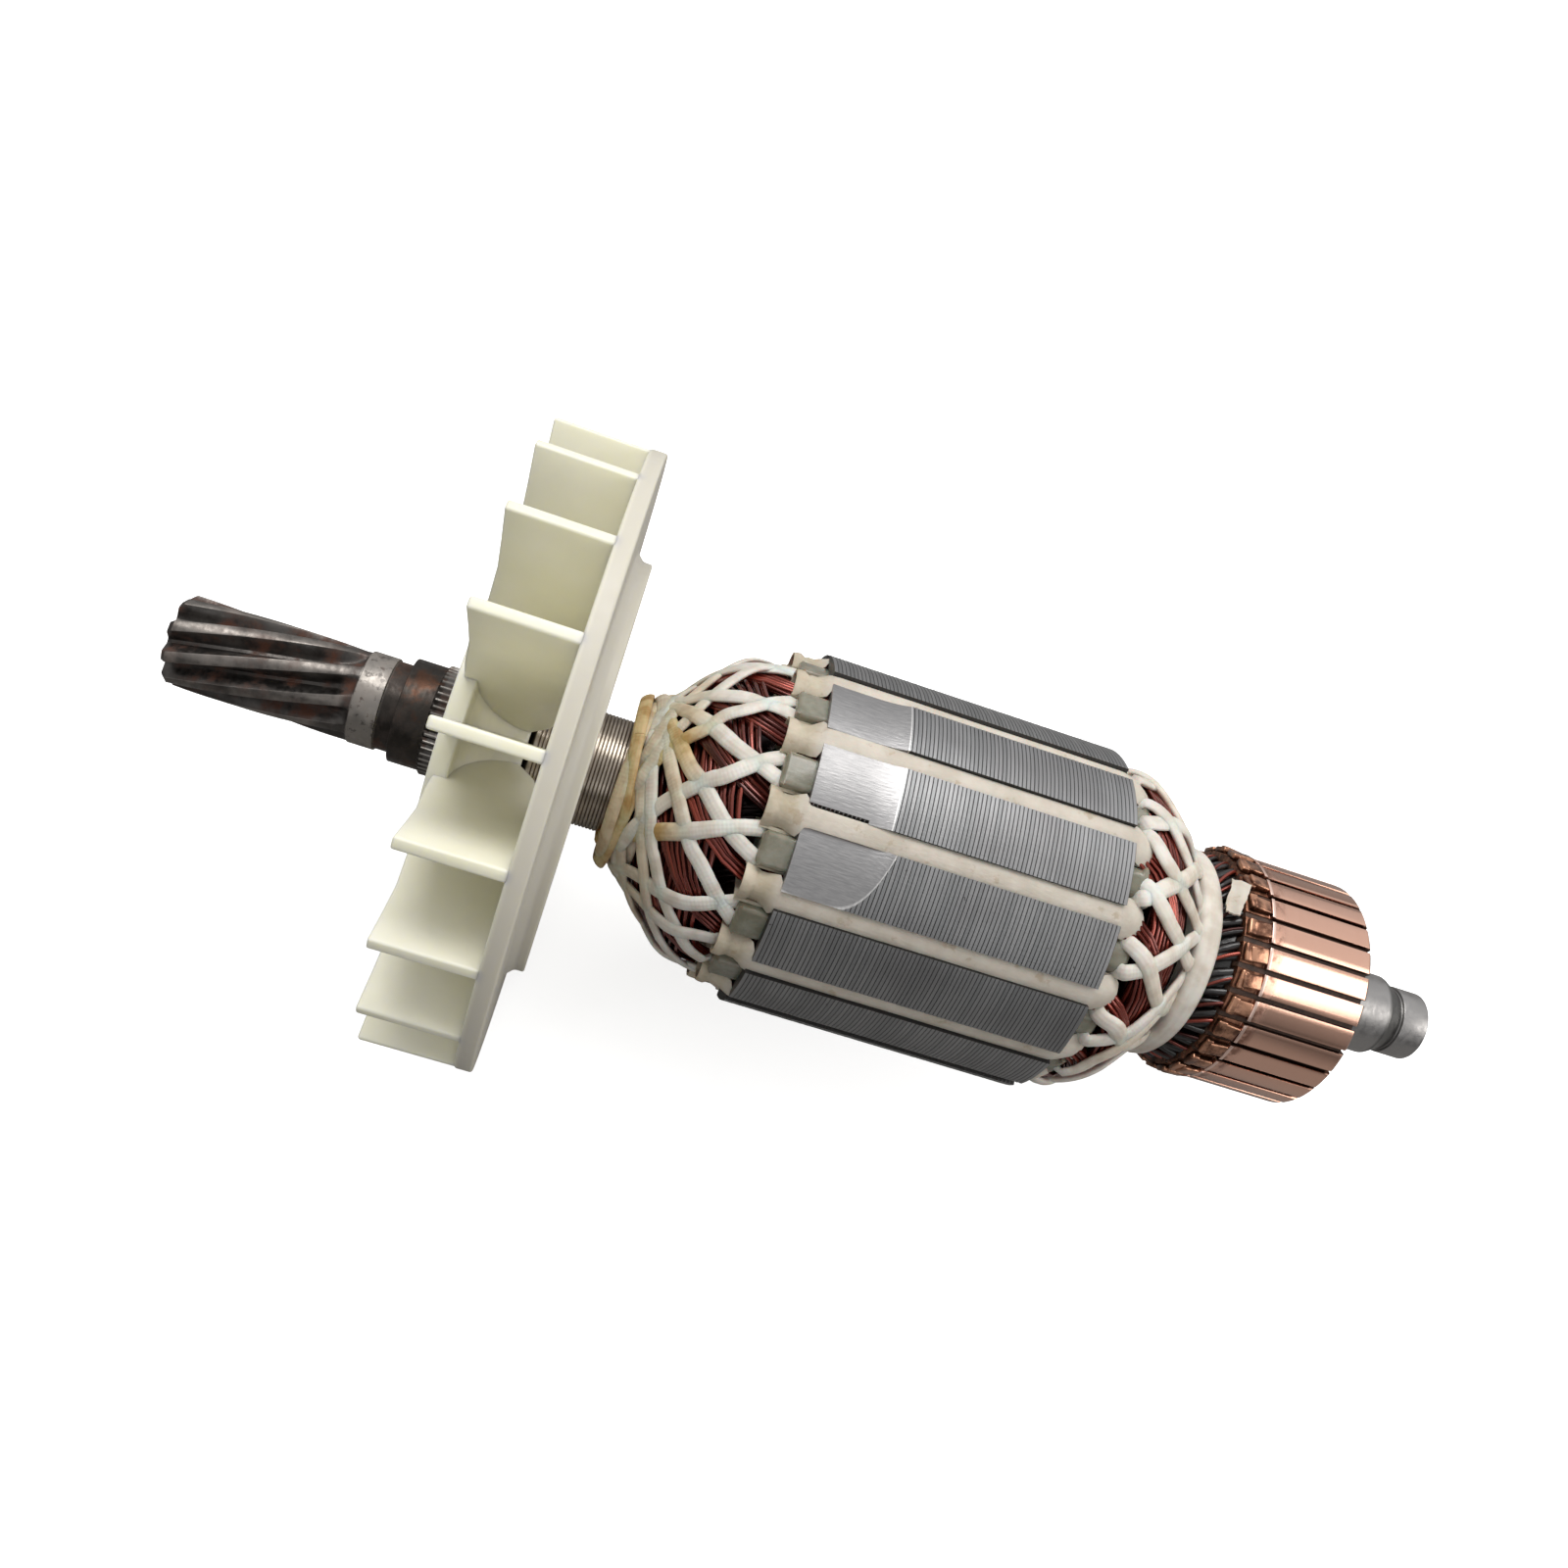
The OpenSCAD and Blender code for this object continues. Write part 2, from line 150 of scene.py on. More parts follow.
right = from_view(0.94612, 0.30268, 0.11505)
down = from_view(0.30047, -0.95309, 0.03654)
forward = from_view(0.12071, 0.0, -0.99268)
eye = from_view(-42.86 - CORE_TO_SEAT, 2.40, 163.43) * MM
camera.matrix_world = Matrix((
    (right.x, -down.x, -forward.x, eye.x),
    (right.y, -down.y, -forward.y, eye.y),
    (right.z, -down.z, -forward.z, eye.z),
    (0, 0, 0, 1),
))
camera_data.sensor_width = 36
camera_data.lens = 30.2
camera_data.shift_x = 0.0235
camera_data.shift_y = 0.009
camera_data.clip_start = 0.005
camera_data.clip_end = 20
print("camera at", [round(1000 * c) for c in eye], "mm")

# %% [markdown]
# Shaders repeat the same few moves: put a node, wire it, blend two colours by a mask. A few helpers keep
# the materials readable. `put` makes a node and takes either plain values or other nodes' sockets.

# %% Node helpers


def fill(tree, made, inputs):
    """Gives a node its inputs, each a plain value or another node's socket."""
    for key, value in dict(inputs).items():
        if isinstance(value, bpy.types.NodeSocket):
            tree.links.new(value, made.inputs[key])
        else:
            made.inputs[key].default_value = value
    return made


def put(tree, kind, inputs=(), **settings):
    made = tree.nodes.new("ShaderNode" + kind)
    for key, value in settings.items():
        setattr(made, key, value)
    return fill(tree, made, inputs)


def maths(tree, operation, a, b=0.0, c=0.0, clamp=False):
    return put(tree, "Math", {0: a, 1: b, 2: c}, operation=operation, use_clamp=clamp).outputs[0]


def blend(tree, mask, a, b):
    """Colour a where the mask is 0 and b where it is 1."""
    return put(tree, "Mix", {0: mask, 6: a, 7: b}, data_type="RGBA").outputs[2]


def spread(tree, value, low, high, to_low=0.0, to_high=1.0):
    """Stretches a value's range onto another and clamps it there."""
    inputs = {"Value": value, "From Min": low, "From Max": high, "To Min": to_low, "To Max": to_high}
    return put(tree, "MapRange", inputs, interpolation_type="SMOOTHSTEP").outputs[0]


def mark(tree, name):
    """A number kept on the mesh's points."""
    return put(tree, "Attribute", attribute_name=name).outputs["Fac"]


def seen_directly(tree):
    """1 for what the camera sees, straight or through something clear."""
    rays = put(tree, "LightPath").outputs
    return maths(tree, "MAXIMUM", rays["Is Camera Ray"], rays["Is Transmission Ray"])


def rgb(red, green, blue):
    return (red, green, blue, 1.0)


# %% [markdown]
# The floor is a plain pale sheet. It should read as white paper yet keep the armature's soft shadow, so its
# shader shows the camera a white diffuse sheet with a little glow. To every other ray it is a grey sheet: the
# underside of the armature then stays as dark as it does on a real table.

# %% Floor
floor_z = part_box("fan_shroud")[0].z - 0.0004
floor_mesh = bmesh.new()
bmesh.ops.create_grid(floor_mesh, x_segments=1, y_segments=1, size=3.0)
bmesh.ops.translate(floor_mesh, verts=floor_mesh.verts, vec=(-0.08, 0, floor_z))
floor_data = bpy.data.meshes.new("floor")
floor_mesh.to_mesh(floor_data)
floor_mesh.free()
floor = bpy.data.objects.new("floor", floor_data)
bpy.context.scene.collection.objects.link(floor)
paper = bpy.data.materials.new("floor_paper")
paper.use_nodes = True
tree = paper.node_tree
tree.nodes.clear()
seen = seen_directly(tree)
glow = put(tree, "Emission", {"Color": rgb(1, 1, 1), "Strength": 0.62})
white_sheet = put(tree, "BsdfDiffuse", {"Color": rgb(0.88, 0.88, 0.88)})
grey_sheet = put(tree, "BsdfDiffuse", {"Color": rgb(0.24, 0.235, 0.23)})
bright = put(tree, "AddShader", {0: white_sheet.outputs[0], 1: glow.outputs[0]})
both = put(tree, "MixShader", {0: seen, 1: grey_sheet.outputs[0], 2: bright.outputs[0]})
put(tree, "OutputMaterial", {"Surface": both.outputs[0]})
floor_data.materials.append(paper)
floor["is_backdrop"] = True
print("floor at", round(1000 * floor_z, 1), "mm")

# %% [markdown]
# The world is white to the camera, and as a light source a tent that is bright above and behind and dim in front
# and below. Three soft boxes add to it: a large one above and behind for bright upper edges, a long weak one
# in front, and one off the commutator's end for its copper. Turned metal mirrors its lamps, and small
# hard ones would leave small hard spots on it.

# %% World and lamps
world = bpy.data.worlds.new("studio")
bpy.context.scene.world = world
world.use_nodes = True
tree = world.node_tree
tree.nodes.clear()
seen = seen_directly(tree)
sky = put(tree, "SeparateXYZ", {0: put(tree, "TexCoord").outputs["Generated"]}).outputs
upward = maths(tree, "MULTIPLY_ADD", sky["Y"], 0.5, sky["Z"])
tent = spread(tree, upward, -0.4, 1.0, 0.10, 0.78)
level = put(tree, "Mix", {0: seen, 2: tent, 3: 1.0}).outputs[0]
put(tree, "OutputWorld", {"Surface": put(tree, "Background", {
    "Color": rgb(1, 1, 1), "Strength": level}).outputs[0]})


def softbox(name, place, target, size, power, colour=(1, 1, 1)):
    data = bpy.data.lights.new(name, "AREA")
    data.shape, data.size, data.size_y = "RECTANGLE", size[0], size[1]
    data.energy, data.color = power, colour
    lamp = bpy.data.objects.new(name, data)
    lamp.location = place
    lamp.rotation_mode = "QUATERNION"
    lamp.rotation_quaternion = (Vector(target) - Vector(place)).to_track_quat("-Z", "Y")
    bpy.context.scene.collection.objects.link(lamp)


middle = (-0.08, 0, 0)
softbox("key_box", (-0.18, 0.22, 0.62), middle, (0.5, 0.35), 2.6, (1.0, 0.985, 0.965))
softbox("front_box", (-0.05, -0.62, 0.34), middle, (0.6, 0.2), 0.25)
softbox("end_box", (0.42, -0.10, 0.30), middle, (0.3, 0.3), 0.8, (1.0, 0.97, 0.93))
bpy.context.scene.view_settings.view_transform = "Standard"
print("lamps:", len(bpy.data.lights))

# %% [markdown]
# ## Shared shader groups
# Almost every finish here varies with the station and the distance from the shaft, since the part was turned,
# wound and dipped about one axis. The first group turns object coordinates into those two, in
# millimetres, so that rings, lamination lines and heat marks follow the real making.

# %% Group: coordinates about the shaft


def new_group(name, inputs, outputs):
    group = bpy.data.node_groups.new(name, "ShaderNodeTree")
    for label, kind, value in inputs:
        socket = group.interface.new_socket(name=label, in_out="INPUT", socket_type="NodeSocket" + kind)
        if value is not None:
            socket.default_value = value
    for label, kind in outputs:
        group.interface.new_socket(name=label, in_out="OUTPUT", socket_type="NodeSocket" + kind)
    return group, group.nodes.new("NodeGroupInput").outputs, group.nodes.new("NodeGroupOutput").inputs


def use_group(tree, group, inputs=()):
    made = tree.nodes.new("ShaderNodeGroup")
    made.node_tree = group
    return fill(tree, made, inputs).outputs


shaft_axes, given, result = new_group(
    "about_the_shaft", [("Vector", "Vector", None)],
    [("Station", "Float"), ("Radius", "Float")])
parts = put(shaft_axes, "SeparateXYZ", {0: given["Vector"]}).outputs
station = maths(shaft_axes, "MULTIPLY_ADD", parts["X"], 1000, CORE_TO_SEAT)
square = maths(shaft_axes, "ADD", maths(shaft_axes, "MULTIPLY", parts["Y"], parts["Y"]),
               maths(shaft_axes, "MULTIPLY", parts["Z"], parts["Z"]))
radius = maths(shaft_axes, "MULTIPLY", maths(shaft_axes, "SQRT", square), 1000)
shaft_axes.links.new(station, result["Station"])
shaft_axes.links.new(radius, result["Radius"])

# %% [markdown]
# Patches of rust, stains and worn spots are all the same thing to a shader: a cloudy mask with a soft edge.
# One noise texture, cut at a level, gives it. `Size` is the patch size in millimetres.

# %% Group: patches
patches, given, result = new_group(
    "patches", [("Vector", "Vector", None), ("Size", "Float", 2.0), ("Level", "Float", 0.5),
                ("Softness", "Float", 0.1)], [("Mask", "Float")])
scale = maths(patches, "DIVIDE", 1000, given["Size"])
noise = put(patches, "TexNoise", {"Vector": given["Vector"], "Scale": scale, "Detail": 5.0,
                                  "Roughness": 0.62}).outputs["Fac"]
low = maths(patches, "SUBTRACT", given["Level"], given["Softness"])
high = maths(patches, "ADD", given["Level"], given["Softness"])
patches.links.new(spread(patches, noise, low, high), result["Mask"])

# %% [markdown]
# No surface here is perfectly even. A fine grain gives plastics their moulded skin, steel its tooth and
# paper its fibres; stretched along one direction it becomes brushing. It is a bump, so it costs no geometry.

# %% Group: grain
grain, given, result = new_group(
    "grain", [("Vector", "Vector", None), ("Size", "Float", 0.3), ("Depth", "Float", 0.02),
              ("Stretch", "Vector", (1, 1, 1))], [("Normal", "Vector"), ("Value", "Float")])
stretched = put(grain, "VectorMath", {0: given["Vector"], 1: given["Stretch"]}, operation="MULTIPLY").outputs[0]
noise = put(grain, "TexNoise", {"Vector": stretched, "Scale": maths(grain, "DIVIDE", 1000, given["Size"]),
                                "Detail": 3.0}).outputs["Fac"]
height = maths(grain, "MULTIPLY", maths(grain, "MULTIPLY", noise, given["Depth"]), MM)
bump = put(grain, "Bump", {"Strength": 1.0, "Distance": 1.0, "Height": height})
grain.links.new(bump.outputs[0], result["Normal"])
grain.links.new(noise, result["Value"])

# %% [markdown]
# Worn edges catch the light: where two faces meet, handling and grinding polish the skin off. The Bevel node
# rounds the normal over a small width; where that differs from the true normal there is an edge.

# %% Group: edges
edges, given, result = new_group("edges", [("Width", "Float", 0.3), ("Reach", "Float", 0.25)],
                                 [("Mask", "Float")])
rounded = put(edges, "Bevel", {"Radius": maths(edges, "MULTIPLY", given["Width"], MM)}, samples=4).outputs[0]
true_normal = put(edges, "NewGeometry").outputs["Normal"]
same = put(edges, "VectorMath", {0: rounded, 1: true_normal}, operation="DOT_PRODUCT").outputs["Value"]
off = maths(edges, "SUBTRACT", 1.0, same)
edges.links.new(spread(edges, off, 0.02, given["Reach"]), result["Mask"])


def about_shaft(tree, place):
    """Station and radius of a point, in millimetres."""
    return use_group(tree, shaft_axes, {"Vector": place})


def cloudy(tree, place, size, level, softness):
    """The mask of the patches group."""
    return use_group(tree, patches, {"Vector": place, "Size": size, "Level": level, "Softness": softness})["Mask"]


def grained(tree, place, size, depth, stretch=(1, 1, 1)):
    """The grain group's normal and value; sizes in millimetres."""
    return use_group(tree, grain, {"Vector": place, "Size": size, "Depth": depth, "Stretch": stretch})


def finish_material(name, base, **shader):
    """A material with its Principled shader; plain values go straight onto the shader's own sockets."""
    made = bpy.data.materials.new(name)
    made.use_nodes = True
    made.diffuse_color = base
    body = made.node_tree.nodes["Principled BSDF"]
    body.inputs["Base Color"].default_value = base
    for key, value in shader.items():
        body.inputs[key.replace("_", " ")].default_value = value
    place = put(made.node_tree, "TexCoord").outputs["Object"]
    return made, made.node_tree, body.inputs, place


print("shader groups:", [group.name for group in bpy.data.node_groups])

# %% [markdown]
# ## Materials
# The shaft was hardened and oiled black. The pinion's teeth keep that black with brown rust in their gaps, the
# ring behind them is ground bright and has spots, the knurl shines where the fan was pressed over it, and
# the small journal at the far end is plain satin steel. One material does it all, by station.

# %% Shaft steel
shaft_steel, tree, body, place = finish_material("shaft_steel", rgb(0.10, 0.095, 0.09), Roughness=0.36,
                                                 Metallic=0.9)
axis = about_shaft(tree, place)
soot = cloudy(tree, place, 3.2, 0.55, 0.2)
dark = blend(tree, soot, rgb(0.105, 0.098, 0.092), rgb(0.040, 0.035, 0.032))
rust = cloudy(tree, place, 3.0, 0.56, 0.10)
low_down = spread(tree, axis["Radius"], 5.5, 4.9, 0.5, 1.0)
rust = maths(tree, "MULTIPLY", maths(tree, "MULTIPLY", rust, low_down), spread(tree, axis["Station"], -52, -62))
dark = blend(tree, rust, dark, rgb(0.095, 0.036, 0.020))
tips = maths(tree, "MULTIPLY", spread(tree, axis["Radius"], 5.45, 5.57), spread(tree, axis["Station"], -72, -73))
rubbed = cloudy(tree, place, 5.0, 0.5, 0.14)
dark = blend(tree, maths(tree, "MULTIPLY", tips, maths(tree, "MULTIPLY_ADD", rubbed, 0.6, 0.1)), dark,
             rgb(0.33, 0.30, 0.275))
worn = use_group(tree, edges, {"Width": 0.2, "Reach": 0.3})["Mask"]
dark = blend(tree, maths(tree, "MULTIPLY", worn, 0.4), dark, rgb(0.36, 0.34, 0.32))
ground = maths(tree, "MULTIPLY", spread(tree, axis["Station"], -71.6, -71.3),
               spread(tree, axis["Station"], -68.0, -68.3))
spots = cloudy(tree, place, 0.9, 0.60, 0.04)
ground = maths(tree, "MULTIPLY", ground, maths(tree, "SUBTRACT", 1.0, maths(tree, "MULTIPLY", spots, 0.7)))
tone = blend(tree, maths(tree, "MULTIPLY", ground, 0.8), dark, rgb(0.33, 0.305, 0.28))
# The collar between the ground ring and the knurl is painted darker: painted shade. Brown rust patches lie on the
# same band.
collar_shade_and_rust = maths(tree, "MULTIPLY", spread(tree, axis["Station"], -68.3, -67.9),
              spread(tree, axis["Station"], -61.6, -62.0))
tone = blend(tree, maths(tree, "MULTIPLY", collar_shade_and_rust, 0.8), tone, rgb(0.030, 0.025, 0.021))
browned = cloudy(tree, place, 4.5, 0.57, 0.07)
browned = maths(tree, "MULTIPLY", maths(tree, "MULTIPLY", collar_shade_and_rust, browned), 0.75)
tone = blend(tree, browned, tone, rgb(0.085, 0.038, 0.022))
ridge = maths(tree, "MULTIPLY", spread(tree, axis["Radius"], 6.68, 6.86),
              maths(tree, "MULTIPLY", spread(tree, axis["Station"], -62.7, -62.2),
                    spread(tree, axis["Station"], -50.3, -50.7)))
tone = blend(tree, maths(tree, "MULTIPLY", ridge, 0.5), tone, rgb(0.30, 0.285, 0.265))
bare = spread(tree, axis["Station"], 50, 56)
tone = blend(tree, bare, tone, rgb(0.37, 0.36, 0.355))
groove = maths(tree, "MULTIPLY", spread(tree, axis["Station"], 64.4, 64.9),
               spread(tree, axis["Station"], 67.4, 67.0))
tone = blend(tree, maths(tree, "MULTIPLY", groove, 0.75), tone, rgb(0.10, 0.10, 0.095))
tree.links.new(tone, body["Base Color"])
shine = grained(tree, place, 0.5, 0.02, (1.0, 0.6, 0.6))
rough = spread(tree, shine["Value"], 0.3, 0.7, 0.28, 0.46)
tree.links.new(maths(tree, "MULTIPLY_ADD", rust, 0.4, rough), body["Roughness"])
tree.links.new(maths(tree, "SUBTRACT", 0.9, maths(tree, "MULTIPLY", rust, 0.8)), body["Metallic"])
tree.links.new(shine["Normal"], body["Normal"])

# %% [markdown]
# The spacer sleeve is nickel-plated steel with turned rings. Its colour is warm and nearly even; the rings
# themselves are in the CAD shape, so the material adds faint stains, turning marks and painted shade down in the
# rings.

# %% Sleeve
sleeve_steel, tree, body, place = finish_material("sleeve_nickel", rgb(0.52, 0.46, 0.39), Roughness=0.28,
                                                  Metallic=1.0)
axis = about_shaft(tree, place)
stain = cloudy(tree, place, 4.0, 0.5, 0.2)
tone = blend(tree, stain, rgb(0.56, 0.50, 0.43), rgb(0.36, 0.31, 0.26))
# Below a radius of 7.02 mm, down in the rings, the colour is near black: painted shade.
shade = spread(tree, axis["Radius"], 7.02, 7.16)
tree.links.new(blend(tree, shade, rgb(0.10, 0.085, 0.07), tone), body["Base Color"])
turning = grained(tree, place, 0.25, 0.012, (4, 0.3, 0.3))
tree.links.new(turning["Normal"], body["Normal"])

# %% [markdown]
# The fan is moulded nylon without pigment: ivory where thick, greener where light has come a long way through it.
# Subsurface scattering gives the milky depth, and a slow noise gives the cloudy, slightly uneven tint.

# %% Fan nylon
fan_nylon, tree, body, place = finish_material(
    "fan_nylon", rgb(0.84, 0.80, 0.68), Roughness=0.42, Subsurface_Weight=0.5, Subsurface_Scale=0.0012,
    IOR=1.5)
body["Subsurface Radius"].default_value = (1.0, 0.95, 0.55)
cloud = cloudy(tree, place, 14, 0.5, 0.25)
axis = about_shaft(tree, place)
tone = blend(tree, cloud, rgb(0.90, 0.88, 0.755), rgb(0.86, 0.84, 0.675))
# The shroud disc gets a darker, greyer tone than the rest of the same moulding: painted shade.
disc = spread(tree, axis["Station"], -47.6, -46.6)
tone = blend(tree, disc, tone, rgb(0.63, 0.60, 0.52))
tree.links.new(tone, body["Base Color"])
skin = grained(tree, place, 1.6, 0.03)
tree.links.new(skin["Normal"], body["Normal"])
tree.links.new(spread(tree, skin["Value"], 0.3, 0.7, 0.36, 0.5), body["Roughness"])

# %% [markdown]
# The core is a stack of half-millimetre steel sheets, blued a little by heat. The sheets themselves are
# geometry; the finish varies from sheet to sheet. Where the balancing cutter went, which the mark `milled`
# tells, the steel is fresh: bright, smooth and brushed along the cut, with a bright burr at its edge.

# %% Core steel
core_steel, tree, body, place = finish_material("core_steel", rgb(0.34, 0.36, 0.38), Roughness=0.38,
                                                Metallic=0.9)
axis = about_shaft(tree, place)
sheet_number = maths(tree, "FLOOR", maths(tree, "DIVIDE", axis["Station"], 2 * CORE_END / SHEETS))
odd = put(tree, "TexWhiteNoise", {"W": sheet_number}, noise_dimensions="1D").outputs["Value"]
long_blur = put(tree, "TexNoise", {"Vector": place, "Scale": 90, "Detail": 2}).outputs["Fac"]
tone = blend(tree, odd, rgb(0.30, 0.305, 0.31), rgb(0.38, 0.38, 0.385))
tone = blend(tree, spread(tree, long_blur, 0.4, 0.75, 0.0, 0.7), tone, rgb(0.25, 0.245, 0.25))
seam = spread(tree, axis["Radius"], 22.44, 22.49)
tone = blend(tree, seam, rgb(0.06, 0.06, 0.062), tone)
specks = cloudy(tree, place, 1.5, 0.715, 0.02)
tone = blend(tree, maths(tree, "MULTIPLY", specks, 0.8), tone, rgb(0.05, 0.045, 0.04))
bite = mark(tree, "milled")
fresh = spread(tree, bite, 0.47, 0.55)
brushed = grained(tree, place, 0.35, 0.03, (0.25, 1.6, 1.6))
fresh_tone = blend(tree, brushed["Value"], rgb(0.24, 0.24, 0.245), rgb(0.46, 0.45, 0.45))
tone = blend(tree, fresh, tone, fresh_tone)
lip = maths(tree, "MULTIPLY", fresh, spread(tree, bite, 0.75, 0.6, 0.0, 0.8))
tree.links.new(blend(tree, lip, tone, rgb(0.80, 0.79, 0.78)), body["Base Color"])
tree.links.new(brushed["Normal"], body["Normal"])
tree.links.new(blend(tree, fresh, rgb(0.42, 0.42, 0.42), rgb(0.38, 0.38, 0.38)), body["Roughness"])

# %% [markdown]
# The end stars are glass-filled nylon, pale green and slightly clear. Paper insulation is cream pressboard,
# stained by varnish in places.

# %% End star and paper
star_nylon, tree, body, place = finish_material("star_nylon", rgb(0.26, 0.27, 0.22), Roughness=0.22, IOR=1.5,
                                                Subsurface_Weight=0.45, Subsurface_Scale=0.002,
                                                Coat_Weight=0.4, Coat_Roughness=0.1)
cloud = cloudy(tree, place, 3, 0.5, 0.2)
tree.links.new(blend(tree, cloud, rgb(0.28, 0.27, 0.215), rgb(0.17, 0.165, 0.115)), body["Base Color"])
skin = grained(tree, place, 0.7, 0.04, (0.3, 1, 1))
tree.links.new(skin["Normal"], body["Normal"])

pressboard, tree, body, place = finish_material("pressboard", rgb(0.60, 0.54, 0.46), Roughness=0.62,
                                                Subsurface_Weight=0.15, Subsurface_Scale=0.001)
axis = about_shaft(tree, place)
cloud = cloudy(tree, place, 3.5, 0.5, 0.2)
tone = blend(tree, cloud, rgb(0.63, 0.575, 0.50), rgb(0.53, 0.475, 0.40))
lobe = spread(tree, axis["Station"], -19.0, -20.5)
tone = blend(tree, lobe, tone, blend(tree, cloud, rgb(0.60, 0.53, 0.42), rgb(0.42, 0.36, 0.26)))
stain = cloudy(tree, place, 2.2, 0.64, 0.05)
tone = blend(tree, maths(tree, "MULTIPLY", stain, 0.5), tone, rgb(0.36, 0.27, 0.16))
tree.links.new(tone, body["Base Color"])
fibres = grained(tree, place, 0.4, 0.05, (0.35, 1, 1))
tree.links.new(fibres["Normal"], body["Normal"])

# %% [markdown]
# Magnet wire is copper under a red-brown enamel, dipped in clear varnish: a metal seen through a tinted coat.
# Each wire has its own slight shade, stored on the mesh when it is made, and depth darkens it: painted shade
# under and between the wires of the coil ends. On the leads it darkens some leads, and each lead's two ends more.

# %% Wire enamel
wire_enamel, tree, body, place = finish_material("wire_enamel", rgb(0.20, 0.032, 0.020), Roughness=0.26,
                                                 Metallic=0.7, Coat_Weight=0.8, Coat_Roughness=0.10)
shade = mark(tree, "shade")
depth = mark(tree, "depth")
tone = blend(tree, shade, rgb(0.065, 0.010, 0.007), rgb(0.36, 0.062, 0.038))
# Deeper wires fade to near black: painted shade among the wires.
tone = blend(tree, depth, tone, rgb(0.012, 0.004, 0.004))
tree.links.new(tone, body["Base Color"])
tree.links.new(maths(tree, "MULTIPLY_ADD", depth, -0.6, 0.7, clamp=True), body["Coat Weight"])
runs = grained(tree, place, 1.2, 0.02)
tree.links.new(runs["Normal"], body["Normal"])

# %% [markdown]
# Lacing cord is flat braided polyester. Its braid is finer than a millimetre, so it is a bump driven by two
# numbers kept on the mesh: how far along the cord a point is and how far across. Varnish soaks into some
# cords and turns them yellow-brown; how much is stored on the mesh too.

# %% Lacing cord
lacing_white, tree, body, place = finish_material("lacing_cord", rgb(0.80, 0.78, 0.74), Roughness=0.55,
                                                  Subsurface_Weight=0.25, Subsurface_Scale=0.0012)
along = mark(tree, "along")
across = mark(tree, "across")
soaked = mark(tree, "soaked")
one_way = maths(tree, "SINE", maths(tree, "MULTIPLY_ADD", along, 7.0, maths(tree, "MULTIPLY", across, 6.0)))
other_way = maths(tree, "SINE", maths(tree, "MULTIPLY_ADD", along, 7.0, maths(tree, "MULTIPLY", across, -6.0)))
braid = maths(tree, "MULTIPLY", one_way, other_way)
cloud = put(tree, "TexNoise", {"Vector": place, "Scale": 420, "Detail": 4}).outputs["Fac"]
tone = blend(tree, spread(tree, cloud, 0.35, 0.7), rgb(0.76, 0.73, 0.68), rgb(0.62, 0.57, 0.50))
yellow = blend(tree, spread(tree, cloud, 0.4, 0.65), rgb(0.62, 0.47, 0.24), rgb(0.42, 0.26, 0.09))
tree.links.new(blend(tree, soaked, tone, yellow), body["Base Color"])
height = maths(tree, "MULTIPLY_ADD", braid, 0.000016, maths(tree, "MULTIPLY", cloud, 0.00008))
tree.links.new(put(tree, "Bump", {"Height": height, "Distance": 1.0, "Strength": 0.8}).outputs[0],
               body["Normal"])

# %% [markdown]
# The commutator is drawn copper, skimmed on a lathe: pale pink, almost a mirror, with fine marks round it. Near
# the risers the heat of hot staking left it mottled brown. Between the bars lies mica, undercut and dark.

# %% Commutator finishes
bar_copper, tree, body, place = finish_material("bar_copper", rgb(0.90, 0.54, 0.41), Roughness=0.24,
                                                Metallic=1.0)
axis = about_shaft(tree, place)
turning = grained(tree, place, 0.22, 0.006, (3.0, 0.08, 0.08))
mottle = cloudy(tree, place, 1.3, 0.5, 0.12)
tone = blend(tree, turning["Value"], rgb(0.93, 0.58, 0.45), rgb(0.86, 0.50, 0.37))
burnt = spread(tree, axis["Station"], 43.4, 42.2)
burnt_tone = blend(tree, mottle, rgb(0.72, 0.42, 0.32), rgb(0.26, 0.12, 0.085))
tone = blend(tree, maths(tree, "MULTIPLY", burnt, maths(tree, "MULTIPLY_ADD", mottle, 0.6, 0.25)), tone, burnt_tone)
# A pale cream band on top of the step before the risers: a painted highlight.
step = maths(tree, "MULTIPLY", spread(tree, axis["Radius"], 14.97, 15.02), spread(tree, axis["Station"], 41.1, 41.2))
tone = blend(tree, step, tone, rgb(0.96, 0.70, 0.60))
riser = spread(tree, axis["Station"], 41.2, 41.1)
riser_tone = blend(tree, mottle, rgb(0.34, 0.16, 0.10), rgb(0.10, 0.045, 0.028))
tone = blend(tree, riser, tone, riser_tone)
deep = spread(tree, axis["Radius"], 14.84, 14.6)
track = spread(tree, axis["Station"], 41.3, 41.5)
tone = blend(tree, maths(tree, "MULTIPLY", deep, track), tone, rgb(0.07, 0.028, 0.016))
tree.links.new(tone, body["Base Color"])
rough = maths(tree, "MULTIPLY_ADD", burnt, 0.15, 0.20)
tree.links.new(rough, body["Roughness"])
tree.links.new(turning["Normal"], body["Normal"])

hook_copper, tree, body, place = finish_material("hook_copper", rgb(0.55, 0.27, 0.16), Roughness=0.30,
                                                 Metallic=1.0, Coat_Weight=0.35, Coat_Roughness=0.15)
burnt = cloudy(tree, place, 1.6, 0.52, 0.12)
tone = blend(tree, burnt, rgb(0.62, 0.32, 0.20), rgb(0.17, 0.075, 0.045))
axis = about_shaft(tree, place)
# The hooks darken towards their base among the risers: painted shade in the gaps between them.
hook_base_shade = spread(tree, axis["Radius"], 14.95, 14.45)
tree.links.new(blend(tree, hook_base_shade, tone, rgb(0.045, 0.022, 0.014)), body["Base Color"])
dents = grained(tree, place, 0.8, 0.06)
tree.links.new(dents["Normal"], body["Normal"])

